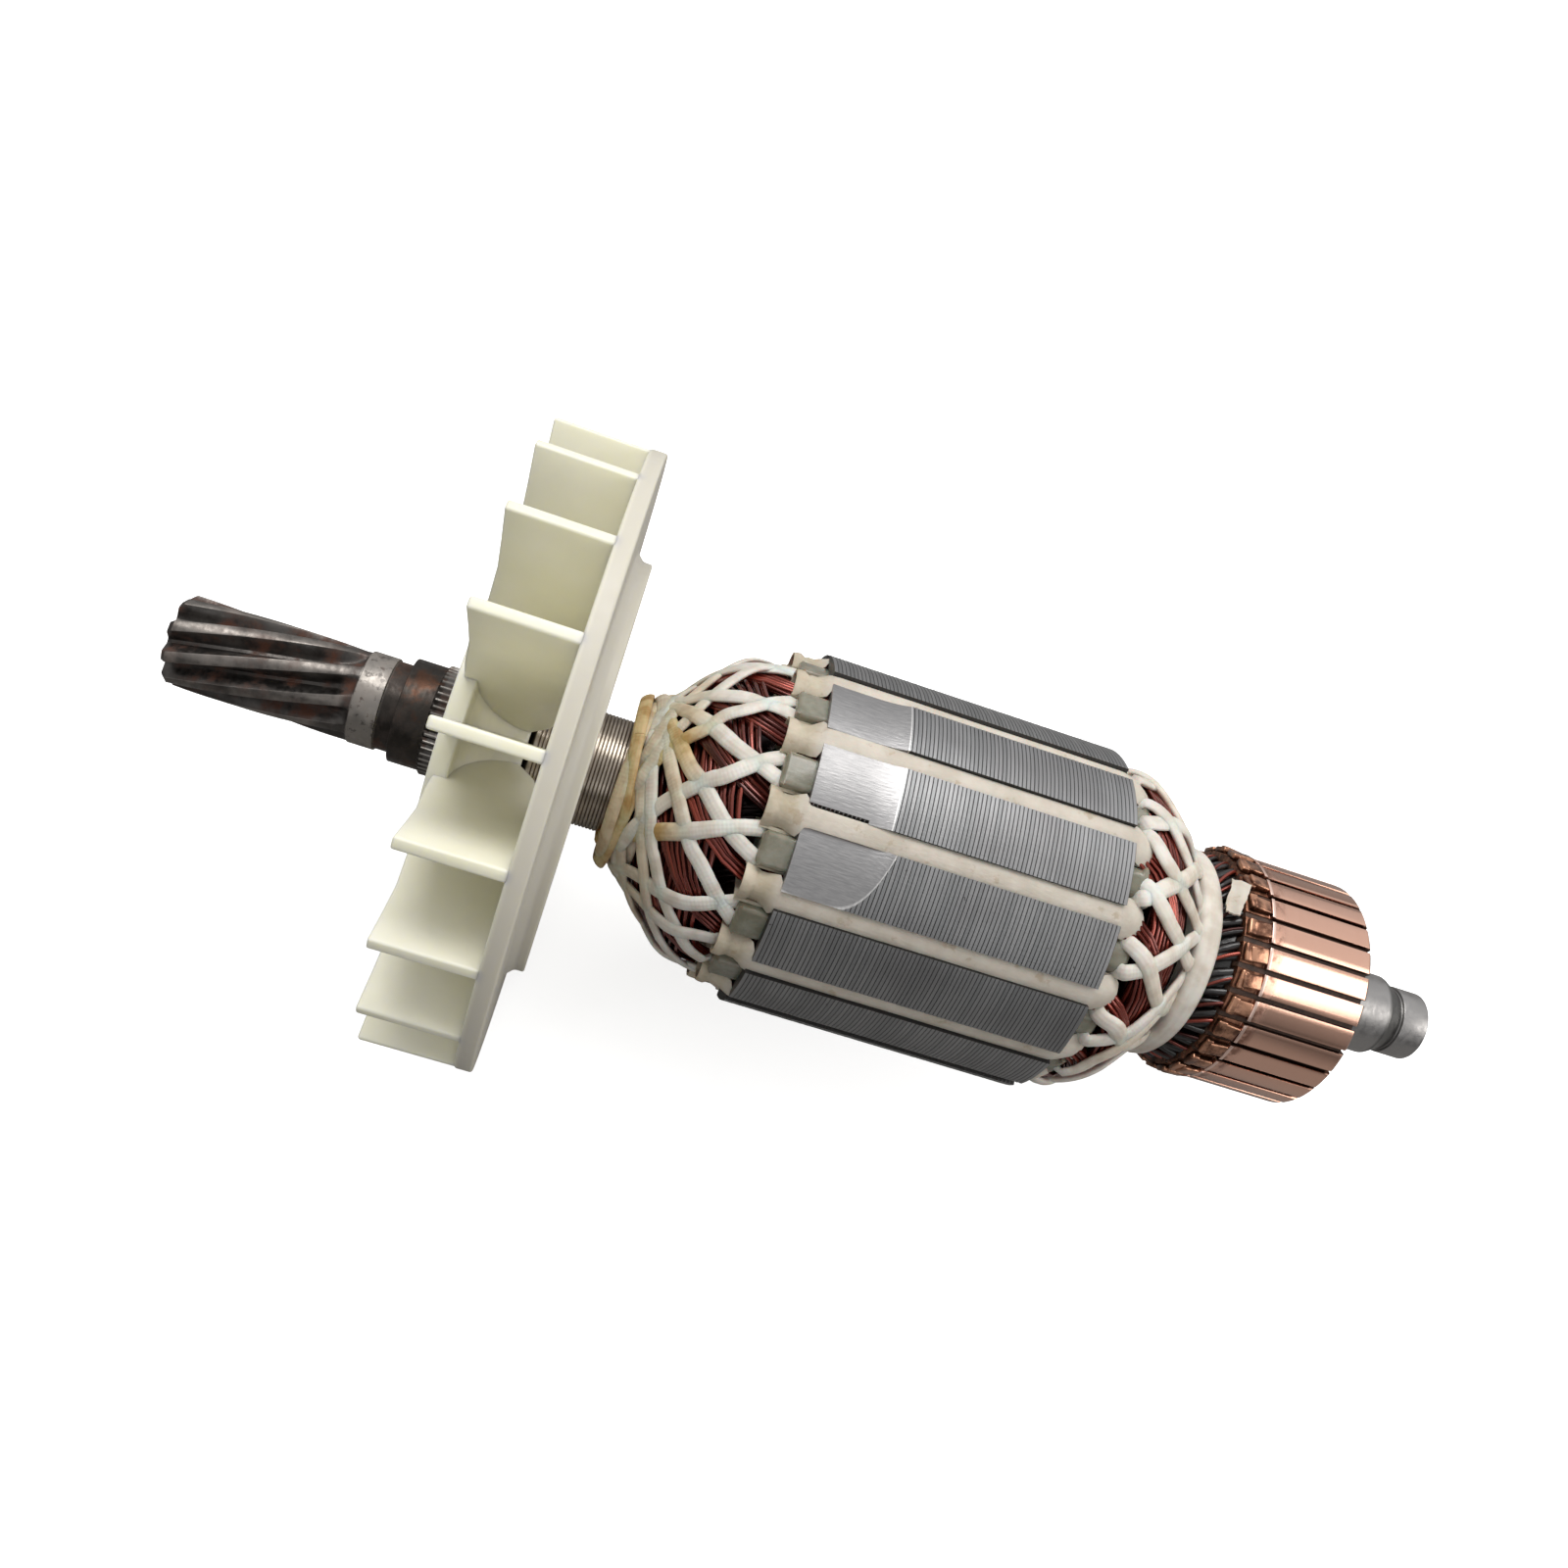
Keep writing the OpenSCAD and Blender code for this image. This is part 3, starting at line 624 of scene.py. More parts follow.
mica, tree, body, place = finish_material("mica", rgb(0.07, 0.035, 0.022), Roughness=0.6)
cloud = cloudy(tree, place, 0.8, 0.5, 0.2)
tree.links.new(blend(tree, cloud, rgb(0.09, 0.045, 0.028), rgb(0.035, 0.02, 0.014)), body["Base Color"])

black_resin, tree, body, place = finish_material("black_resin", rgb(0.02, 0.018, 0.017), Roughness=0.28,
                                                 Coat_Weight=0.4, Coat_Roughness=0.2)
cloud = cloudy(tree, place, 1.6, 0.5, 0.15)
tree.links.new(blend(tree, cloud, rgb(0.014, 0.012, 0.011), rgb(0.006, 0.005, 0.005)), body["Base Color"])
lumps = grained(tree, place, 0.9, 0.12)
tree.links.new(lumps["Normal"], body["Normal"])

bush_steel, tree, body, place = finish_material("bush_steel", rgb(0.42, 0.42, 0.42), Roughness=0.35,
                                                Metallic=1.0)
cloud = cloudy(tree, place, 2.0, 0.5, 0.2)
tree.links.new(blend(tree, cloud, rgb(0.46, 0.46, 0.45), rgb(0.30, 0.29, 0.28)), body["Base Color"])
print("materials:", len(bpy.data.materials))

# %% [markdown]
# ## Making pieces
# Each piece is made in bmesh and finished the same way: normals out, smooth shading with the real corners
# kept sharp, one material, and three facts for the frame: it rides on the armature's one body, it takes its
# finish from a material slot, and it may stand for a plain CAD node.

# %% Finish a piece


def finish_piece(name, mesh, material, replaces=(), corner=38):
    bmesh.ops.recalc_face_normals(mesh, faces=mesh.faces)
    data = bpy.data.meshes.new(name)
    mesh.to_mesh(data)
    mesh.free()
    data.polygons.foreach_set("use_smooth", [True] * len(data.polygons))
    data.set_sharp_from_angle(angle=math.radians(corner))
    data.materials.append(material)
    piece = bpy.data.objects.new(name, data)
    bpy.context.scene.collection.objects.link(piece)
    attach(piece, "root")
    if replaces:
        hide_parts(*replaces)
    data.calc_loop_triangles()
    print(f"{name}: {len(data.loop_triangles)} triangles")
    return piece


# %% [markdown]
# Turned and moulded rings all begin as one outline in the plane of the axis. Rounding its corners first and
# spinning it after gives rounded edges all the way round for the price of a few points: a vertex bevel on
# the flat face, then a full spin of its rim.

# %% Turn an outline


def add_to(target, part):
    """Adds a part to a larger mesh; the part is used up."""
    bmesh.ops.recalc_face_normals(part, faces=part.faces)
    data = bpy.data.meshes.new("part")
    part.to_mesh(data)
    part.free()
    target.from_mesh(data)
    bpy.data.meshes.remove(data)


def round_off(mesh, geom, offset, segments=3, affect="EDGES"):
    bmesh.ops.bevel(mesh, geom=geom, offset=offset * MM, offset_type="OFFSET", segments=segments, profile=0.5,
                    affect=affect, clamp_overlap=True, material=-1)


def turn_outline(mesh, outline, rounding=0.0, steps=96):
    ring = bmesh.new()
    corners = [ring.verts.new(at(x, r)) for x, r in outline]
    ring.faces.new(corners)
    if rounding:
        round_off(ring, [v for v, (x, r) in zip(corners, outline) if r > 0], rounding, 3, "VERTICES")
    bmesh.ops.delete(ring, geom=list(ring.faces), context="FACES_ONLY")
    bmesh.ops.spin(ring, geom=list(ring.verts) + list(ring.edges), cent=(0, 0, 0), axis=(1, 0, 0),
                   angle=2 * math.pi, steps=steps, use_merge=True)
    on_axis = [v for v in ring.verts if math.hypot(v.co.y, v.co.z) < 1e-6]
    bmesh.ops.remove_doubles(ring, verts=on_axis, dist=1e-6)
    add_to(mesh, ring)


def loop_of(mesh, places):
    """A closed loop of edges through these places."""
    ring = [mesh.verts.new(place) for place in places]
    return [mesh.edges.new((p, q)) for p, q in zip(ring, ring[1:] + ring[:1])]


def skin_loops(mesh, loops):
    """Walls from each loop to the next and a cap on each end."""
    for ring, ahead in zip(loops, loops[1:]):
        bmesh.ops.bridge_loops(mesh, edges=ring + ahead)
    for ring in (loops[0], loops[-1]):
        bmesh.ops.contextual_create(mesh, geom=ring)


def points_of(geom):
    return [g for g in geom if isinstance(g, bmesh.types.BMVert)]


def grow(mesh, rim):
    """Extrudes a rim of edges; gives the new points and the new rim."""
    made = bmesh.ops.extrude_edge_only(mesh, edges=rim)["geom"]
    ring = points_of(made)
    held = set(ring)
    return ring, [g for g in made if isinstance(g, bmesh.types.BMEdge) and set(g.verts) <= held]


def copied_round(part, angles):
    """A new mesh with the part repeated at these angles about the shaft."""
    data = bpy.data.meshes.new("copy")
    part.to_mesh(data)
    part.free()
    whole = bmesh.new()
    for turn in angles:
        begin = len(whole.verts)
        whole.from_mesh(data)
        whole.verts.ensure_lookup_table()
        bmesh.ops.transform(whole, matrix=turned_to(turn), verts=whole.verts[begin:])
    bpy.data.meshes.remove(data)
    return whole


# %% [markdown]
# ## Fan
# The fan is one moulding: a flat shroud disc with a raised inlet collar, a curved hub plate on the pinion side
# and twenty radial blades between them. The disc and plate are turned; a blade is its flat outline pulled
# to a thickness with its edges bevelled, then repeated. The blades run slightly into both, as a moulding's
# do, so light passes from one to the other.

# %% Fan
BLADES = 20
BLADE_PHASE = -4.03
BLADE_T = 1.4
fan = bmesh.new()
turn_outline(fan, [(-47.2, 23.0), (-47.2, 38.8), (-45.1, 38.8), (-45.1, 27.0), (-44.1, 26.0), (-42.9, 26.0),
                   (-42.9, 23.0)], rounding=0.28, steps=160)
turn_outline(fan, [(-50.5, 6.9), (-50.5, 8.4), (-52.2, 8.8), (-53.75, 9.95), (-55.1, 11.8), (-56.1, 14.2),
                   (-56.8, 17.0), (-57.0, 20.0), (-59.26, 20.0), (-59.26, 18.6), (-57.8, 18.6), (-57.5, 15.2),
                   (-56.75, 12.2), (-55.6, 10.3), (-54.2, 9.6), (-60.2, 9.6), (-60.2, 6.9)], rounding=0.25)
blade = bmesh.new()
blade_outline = [(-58.4, 38.7), (-46.6, 38.7), (-46.6, 23.4), (-47.1, 22.6), (-47.3, 16), (-48.3, 11.8),
                 (-50.45, 8.4), (-50.7, 7.8), (-53, 8.9), (-54.6, 10.4), (-56, 12.2), (-57, 15.2), (-57.4, 18.8),
                 (-58.56, 19.3), (-58.56, 20.2), (-58.5, 24), (-58.1, 30), (-58.2, 34)]
flat = blade.faces.new([blade.verts.new(at(x, r) + Vector((0, BLADE_T / 2 * MM, 0))) for x, r in blade_outline])
pulled = bmesh.ops.extrude_face_region(blade, geom=[flat])["geom"]
bmesh.ops.translate(blade, vec=(0, -BLADE_T * MM, 0), verts=points_of(pulled))
bmesh.ops.recalc_face_normals(blade, faces=blade.faces)
sharp = [e for e in blade.edges if len(e.link_faces) == 2 and e.calc_face_angle() > 1.2]
round_off(blade, sharp, 0.3)
blades = copied_round(blade, [BLADE_PHASE + 360 * i / BLADES for i in range(BLADES)])
add_to(fan, blades)
finish_piece("fan_moulding", fan, fan_nylon, ["fan_hub", "fan_blades", "fan_shroud"], corner=50)

# %% [markdown]
# ## Laminated core
# Each tooth is a stack of 76 sheets. A tooth starts as one flat outline: tip, lips and body. It is extruded
# along the shaft in short steps, and at each joint between two sheets the section shrinks by a few
# hundredths of a millimetre, which draws the fine lines and the serrated edges that a stack of real
# stampings has. Each sheet also sits a hair higher or lower than its neighbours. A texture could draw the
# lines, but not the serrated edges.

# %% Tooth
SHEET_T = 2 * CORE_END / SHEETS
rng = random.Random(7)
half_pitch = math.radians(PITCH / 2)
BODY_HALF = 2.05
LIP_R = 20.9
MOUTH_HALF = 1.225


def tooth_section():
    """Half-outlines as (height from the axis, width from the tooth's middle plane), round the whole tooth."""
    edge = half_pitch - MOUTH_HALF / CORE_R
    tip = [(CORE_R * math.cos(edge * k / 8), CORE_R * math.sin(edge * k / 8)) for k in range(8, -9, -1)]
    lip = LIP_R * math.sin(half_pitch - MOUTH_HALF / LIP_R)
    side = [(12.0, BODY_HALF), (20.0, BODY_HALF), (LIP_R * math.cos(half_pitch) + 0.3, lip)]
    return side + tip + [(h, -w) for h, w in reversed(side)]


tooth = bmesh.new()
section = [tooth.verts.new(Vector((-CORE_END - CORE_TO_SEAT, -w, h)) * MM) for h, w in tooth_section()]
bottom = tooth.faces.new(section)
rim = list(bottom.edges)
centre_h = 17.0
UP_STEP, SEAM, SEAM_DEPTH = 0.06, 0.08, 0.012
moved = 1.0
for k in range(SHEETS):
    lift = 1 + rng.uniform(-0.0016, 0.0016)
    for advance, size in ((UP_STEP, lift), (SHEET_T - UP_STEP - SEAM, lift), (SEAM, 1 - SEAM_DEPTH)):
        ring, rim = grow(tooth, rim)
        bmesh.ops.translate(tooth, vec=(advance * MM, 0, 0), verts=ring)
        bmesh.ops.scale(tooth, vec=(1, size / moved, size / moved), verts=ring,
                        space=Matrix.Translation((0, 0, -centre_h * MM)))
        moved = size
bmesh.ops.contextual_create(tooth, geom=rim)
teeth = copied_round(tooth, [(k + 0.5) * PITCH for k in range(SLOTS)])
print("sheets of", round(SHEET_T, 3), "mm")

# %% [markdown]
# Three teeth were milled to balance the armature: a formed cutter took a shallow bite at the drive end, on the
# third tooth a little askew. Pushing down every point above the cutter's path is the same operation. How far
# the path lies below the crown is kept on the points, and tells the material where the steel is fresh.

# %% Balancing scoops
milled = teeth.verts.layers.float.new("milled")
SCOOP, SCOOP_HALF, SCOOP_X = 0.5, 6.4, -15.6
for k, tilt in ((-1, 0.0), (0, 0.0), (1, -0.13)):
    out = Vector((0, -math.sin(math.radians((k + 0.5) * PITCH)), math.cos(math.radians((k + 0.5) * PITCH))))
    side = Vector((0, out.z, -out.y))
    for v in teeth.verts:
        height = math.hypot(v.co.y, v.co.z) / MM
        away = v.co.x / MM + CORE_TO_SEAT - SCOOP_X
        if v.co.dot(out) < 20 * MM or abs(v.co.dot(side)) / MM > 6 or abs(away) > 12:
            continue
        path = CORE_R - SCOOP * (1 - (away / SCOOP_HALF) ** 4) + tilt * (v.co.dot(side) / MM + 0.4)
        v[milled] = min(1.0, max(0.0, 0.5 + (CORE_R - path) / 0.3))
        if height > path:
            v.co += out * (path - height) * MM
turn_outline(teeth, [(-CORE_END + 0.2, 6.2), (-CORE_END + 0.2, 12.4), (CORE_END - 0.2, 12.4),
                     (CORE_END - 0.2, 6.2)], steps=56)
finish_piece("core_laminations", teeth, core_steel, ["core"], corner=32)

# %% [markdown]
# ## Coil ends
# The coil ends are domes, so wires and cords are laid on a surface of revolution. It is given as a few stations
# with their radii. A point on it is found by station and angle; a depth below it stacks the layers.
# `laid_frames` turns such a row of points into frames: one axis across the strand, one out of the surface and one
# along it. With those a flat cord lies flat wherever it goes.

# %% Domes
DRIVE_DOME = [(-17.0, 19.9), (-23.45, 19.3), (-25.5, 19.1), (-28, 18.4), (-30, 16.8), (-32, 14.9), (-33.6, 13.1),
              (-35, 11.7), (-37, 10.2), (-38.2, 8.9), (-39.4, 8.1)]
COMM_DOME = [(17.0, 20.8), (22.9, 20.4), (25, 19.9), (28, 18.0), (30, 16.0), (31.4, 14.2), (32.8, 12.9), (36, 12.6)]


def dome_radius(dome, station):
    ordered = sorted(dome)
    station = min(max(station, ordered[0][0]), ordered[-1][0])
    for (x0, r0), (x1, r1) in zip(ordered, ordered[1:]):
        if station <= x1:
            return r0 + (r1 - r0) * (station - x0) / (x1 - x0)


def soft_radius(dome, station):
    return sum(dome_radius(dome, station + step) for step in (-0.9, -0.3, 0.3, 0.9)) / 4


def smooth_path(points, steps):
    """Points on a Catmull-Rom curve through the given rows of numbers, `steps` to each span."""
    rows = [points[0]] + list(points) + [points[-1]]
    made = []
    for a, b, c, d in zip(rows, rows[1:], rows[2:], rows[3:]):
        for k in range(steps):
            t = k / steps
            made.append([0.5 * (2 * q + (r - p) * t + (2 * p - 5 * q + 4 * r - s) * t * t
                                + (3 * q - p - 3 * r + s) * t ** 3) for p, q, r, s in zip(a, b, c, d)])
    made.append(list(points[-1]))
    return made


def laid_frames(dome, rows, sizes=None):
    """Frames for a strand laid on a dome; a row is (station, angle, lift above the dome)."""
    places = [at(x, soft_radius(dome, x) + lift, a) for x, a, lift in rows]
    frames = []
    for k, ((x, a, lift), place) in enumerate(zip(rows, places)):
        ahead = places[min(k + 1, len(places) - 1)] - places[max(k - 1, 0)]
        ahead.normalize()
        slope = (soft_radius(dome, x + 0.3) - soft_radius(dome, x - 0.3)) / 0.6
        up = at(x, 1000, a) - at(x, 0, a)
        up.normalize()
        out = Vector((-slope, up.y, up.z)).normalized()
        wide = out.cross(ahead).normalized()
        out = ahead.cross(wide).normalized()
        size = sizes[k] if sizes else 1.0
        frame = Matrix((wide * size, out * size, ahead)).transposed().to_4x4()
        frame.translation = place
        frames.append(frame)
    return frames


# %% [markdown]
# A strand is a small ring of points drawn along its frames: extrude the ring, move it to the next frame, and so
# on, then close both ends. Each strand is made in a mesh of its own and added to the piece, which keeps
# the work quick when there are hundreds. Marks such as the shade or the way along are kept on its points.

# %% Draw a strand


def marked_mesh(*marks):
    """An empty mesh whose points will carry these marks."""
    mesh = bmesh.new()
    for name in marks:
        mesh.verts.layers.float.new(name)
    return mesh


def strand(target, frames, sides, half_wide, half_thick, marks=None, step_marks=None):
    mesh = bmesh.new()
    layers = {name: mesh.verts.layers.float.new(name) for name in [*(marks or {}), *(step_marks or {})]}
    ring = bmesh.ops.create_circle(mesh, cap_ends=True, radius=MM, segments=sides)["verts"]
    bmesh.ops.scale(mesh, vec=(half_wide, half_thick, 1), verts=ring)
    bmesh.ops.transform(mesh, matrix=frames[0], verts=ring)
    rim = list({e for v in ring for e in v.link_edges})
    for k, frame in enumerate(frames):
        if k:
            ring, rim = grow(mesh, rim)
            bmesh.ops.transform(mesh, matrix=frame @ frames[k - 1].inverted(), verts=ring)
        back = frame.inverted()
        for v in ring:
            for name, value in (marks or {}).items():
                v[layers[name]] = value
            for name, values in (step_marks or {}).items():
                v[layers[name]] = values[k]
            if "across" in layers:
                v[layers["across"]] = (back @ v.co).x / (half_wide * MM)
    bmesh.ops.contextual_create(mesh, geom=rim)
    add_to(target, mesh)


# %% [markdown]
# A coil leaves a slot along the shaft, swings round the neck and enters another slot six further on. The wires of
# one coil lie side by side: the inner ones turn sharply behind the star finger, the outer ones sweep wide,
# nearer the neck. Each coil begins deep in its slot and ends on top, so that the coils overlap like the
# blades of a shutter and one rule makes them all. The span reversed gives the other end.

# %% Wind the coils
WIRE_R = 0.255
WIRE_STEPS = 24
SPAN = 6 * PITCH
DEEPEST = 3.8


def wind_end(dome, face, reach_mid, reach_spread, span, across, seed):
    chance = random.Random(seed)
    piece = marked_mesh("shade", "depth")
    way = 1 if face > 0 else -1
    side = 1 if span > 0 else -1
    for coil in range(SLOTS):
        shade = chance.uniform(0.2, 0.7)
        lean, reach_off = chance.uniform(-1.0, 1.0), chance.uniform(-0.9, 0.5)
        for layer, count in ((0, across), (1, across - 1)):
            for k in range(count):
                q = (k + 0.5) / count - 0.5
                reach = reach_mid + reach_off + q * reach_spread + chance.uniform(-0.06, 0.06)
                rows, buried = [], []
                for i in range(WIRE_STEPS + 1):
                    t = 0.5 - 0.5 * math.cos(math.pi * i / WIRE_STEPS)
                    x = face - way + way * reach * (1 - abs(2 * t - 1) ** (5.2 - 5.2 * q)) ** 0.5
                    a = (coil * PITCH + span * t + (t - 0.5) * 2 * q * 9.0 * side + lean * math.sin(6 * t)
                         + chance.uniform(-0.04, 0.04))
                    near_slot = max(0.0, abs(2 * t - 1) - 0.75) / 0.25
                    low = 0.38 + min(DEEPEST, 6.4 * max(0.0, 0.84 - t)) + 0.48 * layer + 0.55 * near_slot * (k % 2)
                    rows.append((x, a, -low))
                    # How deep a wire lies is kept as its depth mark, which the material turns into painted shade.
                    buried.append(min(1.0, max(0.0, (low - 0.6) / 2.4)))
                strand(piece, laid_frames(dome, rows), 6, WIRE_R, WIRE_R,
                       {"shade": min(1.0, max(0.0, shade + chance.uniform(-0.4, 0.4)))}, {"depth": buried})
    return piece


coils = wind_end(DRIVE_DOME, -19.0, 13.2, 9.4, SPAN, 10, 3)
finish_piece("coil_end_drive", coils, wire_enamel, ["winding"], corner=60)
coils = wind_end(COMM_DOME, 19.0, 9.6, 6.6, -SPAN, 9, 5)
finish_piece("coil_end_commutator", coils, wire_enamel, ["winding"], corner=60)

# %% [markdown]
# Under the outer wires lies the rest of the winding. It only shows as darkness between them, so a turned shape
# below each dome is enough. It shares the wires' finish at full depth, which paints it near black: painted shade.

# %% Bed of the winding
bed = bmesh.new()
deep = bed.verts.layers.float.new("depth")
turn_outline(bed, [(-16, 6.3), (-16, 15.2), (-25, 15.0), (-29, 13.4), (-32, 11.2), (-35, 9.0), (-38.4, 7.2),
                   (-38.4, 6.3)], rounding=0.4, steps=56)
turn_outline(bed, [(16, 6.3), (16, 16.0), (25, 15.6), (28.5, 13.6), (31, 11.4), (32.6, 10.6), (32.6, 6.3)],
             rounding=0.4, steps=56)
# Every point of the bed is at full depth, so the material paints it near black: painted shade between the wires.
for v in bed.verts:
    v[deep] = 1.0
finish_piece("winding_bed", bed, wire_enamel, ["winding"])

# %% [markdown]
# ## Lacing
# Flat cord ties the drive-end coils down. From beside each slot one cord runs round one way and one the other,
# crossing several neighbours before it winds round the neck. The paths of the cords near the top of the armature
# are written out one by one: station and angle, from the core to the neck. The rest
# follow the average of them with a little chance. Every crossing lifts one cord over the other.

# %% Lace the drive end
HAND_LAID = {
    "up": {
        12: [(-21.0, -33.0), (-24.8, -36.0), (-27.5, -38.5), (-30.2, -46), (-32.4, -56), (-34.6, -72), (-37, -102)],
        0: [(-21.0, -6.8), (-24.3, -10.6), (-27.1, -13.2), (-30.2, -18.0), (-32.6, -24.5), (-34.9, -34),
            (-37.3, -66)],
        1: [(-21.0, 18.4), (-23.8, 14.8), (-25.8, 11.8), (-28.2, 7.7), (-30.5, 0.3), (-32.5, -8.3), (-34.7, -22.0),
            (-36.2, -36), (-37.6, -70)],
        2: [(-21.0, 44.6), (-23.5, 41.6), (-26.0, 37.4), (-28.2, 31.5), (-30.2, 24.4), (-32.0, 18.1), (-33.7, 6.7),
            (-34.8, -4.1), (-36.2, -24), (-37.7, -62)],
        3: [(-21.0, 69.6), (-23.4, 64.4), (-25.5, 59.0), (-27.8, 52.2), (-29.6, 47.3), (-31.5, 37.4), (-33.4, 24.0),
            (-34.6, 11.0), (-36, -10), (-37.6, -48)],
        4: [(-21.0, 96.0), (-25.3, 90.7), (-27.6, 83.4), (-29.5, 78.4), (-31.2, 71.3), (-32.5, 63.5), (-33.6, 56.6),
            (-35, 38), (-36.6, 8), (-37.8, -20)],
        5: [(-21.0, 121.0), (-25.0, 112.0), (-27.8, 105.0), (-30.2, 97.5), (-31.9, 86.5), (-33.2, 74.3),
            (-34.3, 64.1), (-36, 40), (-37.6, 8)],
    },
    "down": {
        13: [(-21.0, -19.2), (-24.6, -14.0), (-27.8, -7.8), (-30.0, -5.6), (-31.4, -0.4), (-33.1, 2.4), (-34.9, 8.7),
             (-36.6, 21.9), (-37.5, 37.8), (-38.0, 52.6), (-38.5, 75), (-38.8, 110)],
        0: [(-21.0, 6.4), (-24.0, 10.3), (-26.4, 15.4), (-28.4, 20.0), (-29.9, 22.5), (-31.9, 28.7), (-33.7, 37.4),
            (-35.1, 49.8), (-36.2, 64), (-37.6, 96)],
        1: [(-21.0, 32.3), (-24.6, 34.5), (-27.6, 38.0), (-30.0, 42.5), (-32.8, 49.4), (-35.1, 59.2), (-37.0, 69.5),
            (-38.6, 85.8), (-39.0, 120)],
        2: [(-21.0, 57.4), (-24.4, 62.1), (-27.0, 66.4), (-29.3, 71.1), (-31.8, 77.2), (-34.0, 84.3), (-35.8, 96),
            (-37.5, 124)],
        3: [(-21.0, 78.5), (-25.3, 80.0), (-28.0, 84.0), (-30.6, 90.0), (-33.0, 98.0), (-35.5, 114), (-37.5, 146)],
    },
}
USUAL = [(-21.0, 0), (-24.0, 3.4), (-26.2, 8.3), (-28.2, 13.0), (-30.2, 19.0), (-32.0, 27.0), (-33.7, 38.0),
         (-35.1, 52.0), (-36.4, 72.0), (-37.7, 104.0)]
SOAKED = {("down", 13): 1.0, ("down", 1): 1.0, ("up", 2): 0.95, ("up", 1): 0.55, ("down", 0): 0.2, ("up", 0): 0.35,
          ("down", 2): 0.35, ("up", 12): 0.3}
CORD_W, CORD_T = 1.98, 0.78


def lay_cord(target, dome, rows, over, chance, soaked, soak_from, wide=CORD_W, thick=CORD_T):
    """One flat cord; `over` says whether it starts above the other family, which changes at each crossing."""
    fine = smooth_path([(x, a, 0.0) for x, a in rows], 5)
    for k, row in enumerate(fine):
        share = k / (len(fine) - 1)
        weave = math.sin(math.pi * (0.5 + 3.1 * share)) * (1 if over else -1)
        row[2] = 0.30 + 0.26 * weave * (1 - 0.5 * share)
    for k, sunk in enumerate((-1.6, -1.0, -0.4)):
        fine[k][2] = min(fine[k][2], sunk)
        fine[-1 - k][2] = min(fine[-1 - k][2], sunk)
    sizes = [1 - 0.06 * math.sin(9 * k / len(fine) + chance.random()) for k in range(len(fine))]
    frames = laid_frames(dome, fine, sizes)
    gone, way = 0.0, []
    for k, frame in enumerate(frames):
        gone += (frame.translation - frames[max(k - 1, 0)].translation).length / MM
        way.append(gone)
    soak = [soaked * min(1.0, max(0.0, (abs(row[0]) - soak_from) / 3.5)) for row in fine]
    strand(target, frames, 12, wide / 2, thick / 2, {"across": 0.0}, {"along": way, "soaked": soak})


chance = random.Random(21)
lacing = marked_mesh("along", "across", "soaked")
for way, sign in (("up", -1), ("down", 1)):
    for slot in range(SLOTS):
        rows = HAND_LAID[way].get(slot)
        if rows is None:
            stretch = chance.uniform(0.88, 1.12)
            start = slot * PITCH + sign * 7.0 + chance.uniform(-0.8, 0.8)
            rows = [(x + chance.uniform(-0.15, 0.15), start + sign * a * stretch) for x, a in USUAL]
        soak = SOAKED.get((way, slot), chance.uniform(0.1, 0.6))
        lay_cord(lacing, DRIVE_DOME, rows, way == "up", chance, soak, 29.5)
# Turns round the neck: each one is tilted, so that they cross like the tails they are
NECK_TURNS = [(-36.3, 10.9, 0.9, 10, 0.45), (-37.2, 10.3, 1.2, 130, 0.95), (-37.7, 9.9, 1.0, 215, 0.7),
              (-37.3, 10.1, 1.4, 300, 1.0), (-38.3, 8.6, 0.4, 80, 0.9)]
TURN_STEPS = 48
for x, r, tilt, phase, soak in NECK_TURNS:
    ring_rows = []
    for k in range(TURN_STEPS + 1):
        turn = 360 * k / TURN_STEPS
        station = x + tilt * math.sin(math.radians(turn + phase))
        lift = r - 0.35 * (station - x) - soft_radius(DRIVE_DOME, station)
        ring_rows.append((station, turn, lift + 0.12 * math.sin(math.radians(2 * turn + phase))))
    strand(lacing, laid_frames(DRIVE_DOME, ring_rows), 12, 0.9, 0.40, {"across": 0.0, "soaked": soak},
           {"along": [k * 1.2 for k in range(TURN_STEPS + 1)]})
finish_piece("lacing_drive_end", lacing, lacing_white, ["lacing_drive", "neck_binding"], corner=70)

# %% [markdown]
# At the commutator end the cord is looped shorter: it comes out beside each finger, runs to the binding and goes
# under it. The same function lays it, from its own written-out paths.

# %% Lace the commutator end
SHORT = {
    "up": {
        0: [(20.6, -8.6), (21.6, -10.2), (23.8, -13.4), (27.0, -18.5), (30.0, -22), (33.7, -27.5)],
        1: [(20.6, 18.2), (21.9, 17.3), (24.0, 12.2), (27.3, 4.1), (30.2, -8), (33.0, -21.9), (34.2, -27.7)],
        2: [(20.6, 42.8), (22.6, 41.4), (24.9, 38.3), (27.8, 31.9), (30.0, 26), (32.2, 20.1), (33.6, 10.8)],
        3: [(20.6, 69.5), (22.6, 69.0), (26.1, 65.8), (27.8, 58.8), (30.0, 50), (33.4, 38)],
        4: [(20.6, 94.5), (23.7, 87.2), (24.9, 79.3), (27.0, 70.9), (30.0, 60), (33.4, 50)],
    },
    "down": {
        0: [(20.6, -6.0), (21.9, -3.7), (23.6, 2.9), (25.5, 6.2), (28.1, 10.8), (31.0, 14.2), (33.6, 21)],
        1: [(20.6, 11.8), (22.4, 14.6), (23.4, 17.4), (25.6, 22.2), (27.8, 25.9), (31.0, 32.4), (33.6, 37)],
        2: [(20.6, 32.3), (22.0, 33.9), (23.7, 36.7), (25.6, 42.1), (27.6, 48.9), (30.0, 56.3), (33.6, 64)],
        3: [(20.6, 57.6), (21.8, 59.1), (23.9, 61.4), (26.2, 68.4), (30.0, 79), (33.6, 88)],
    },
}
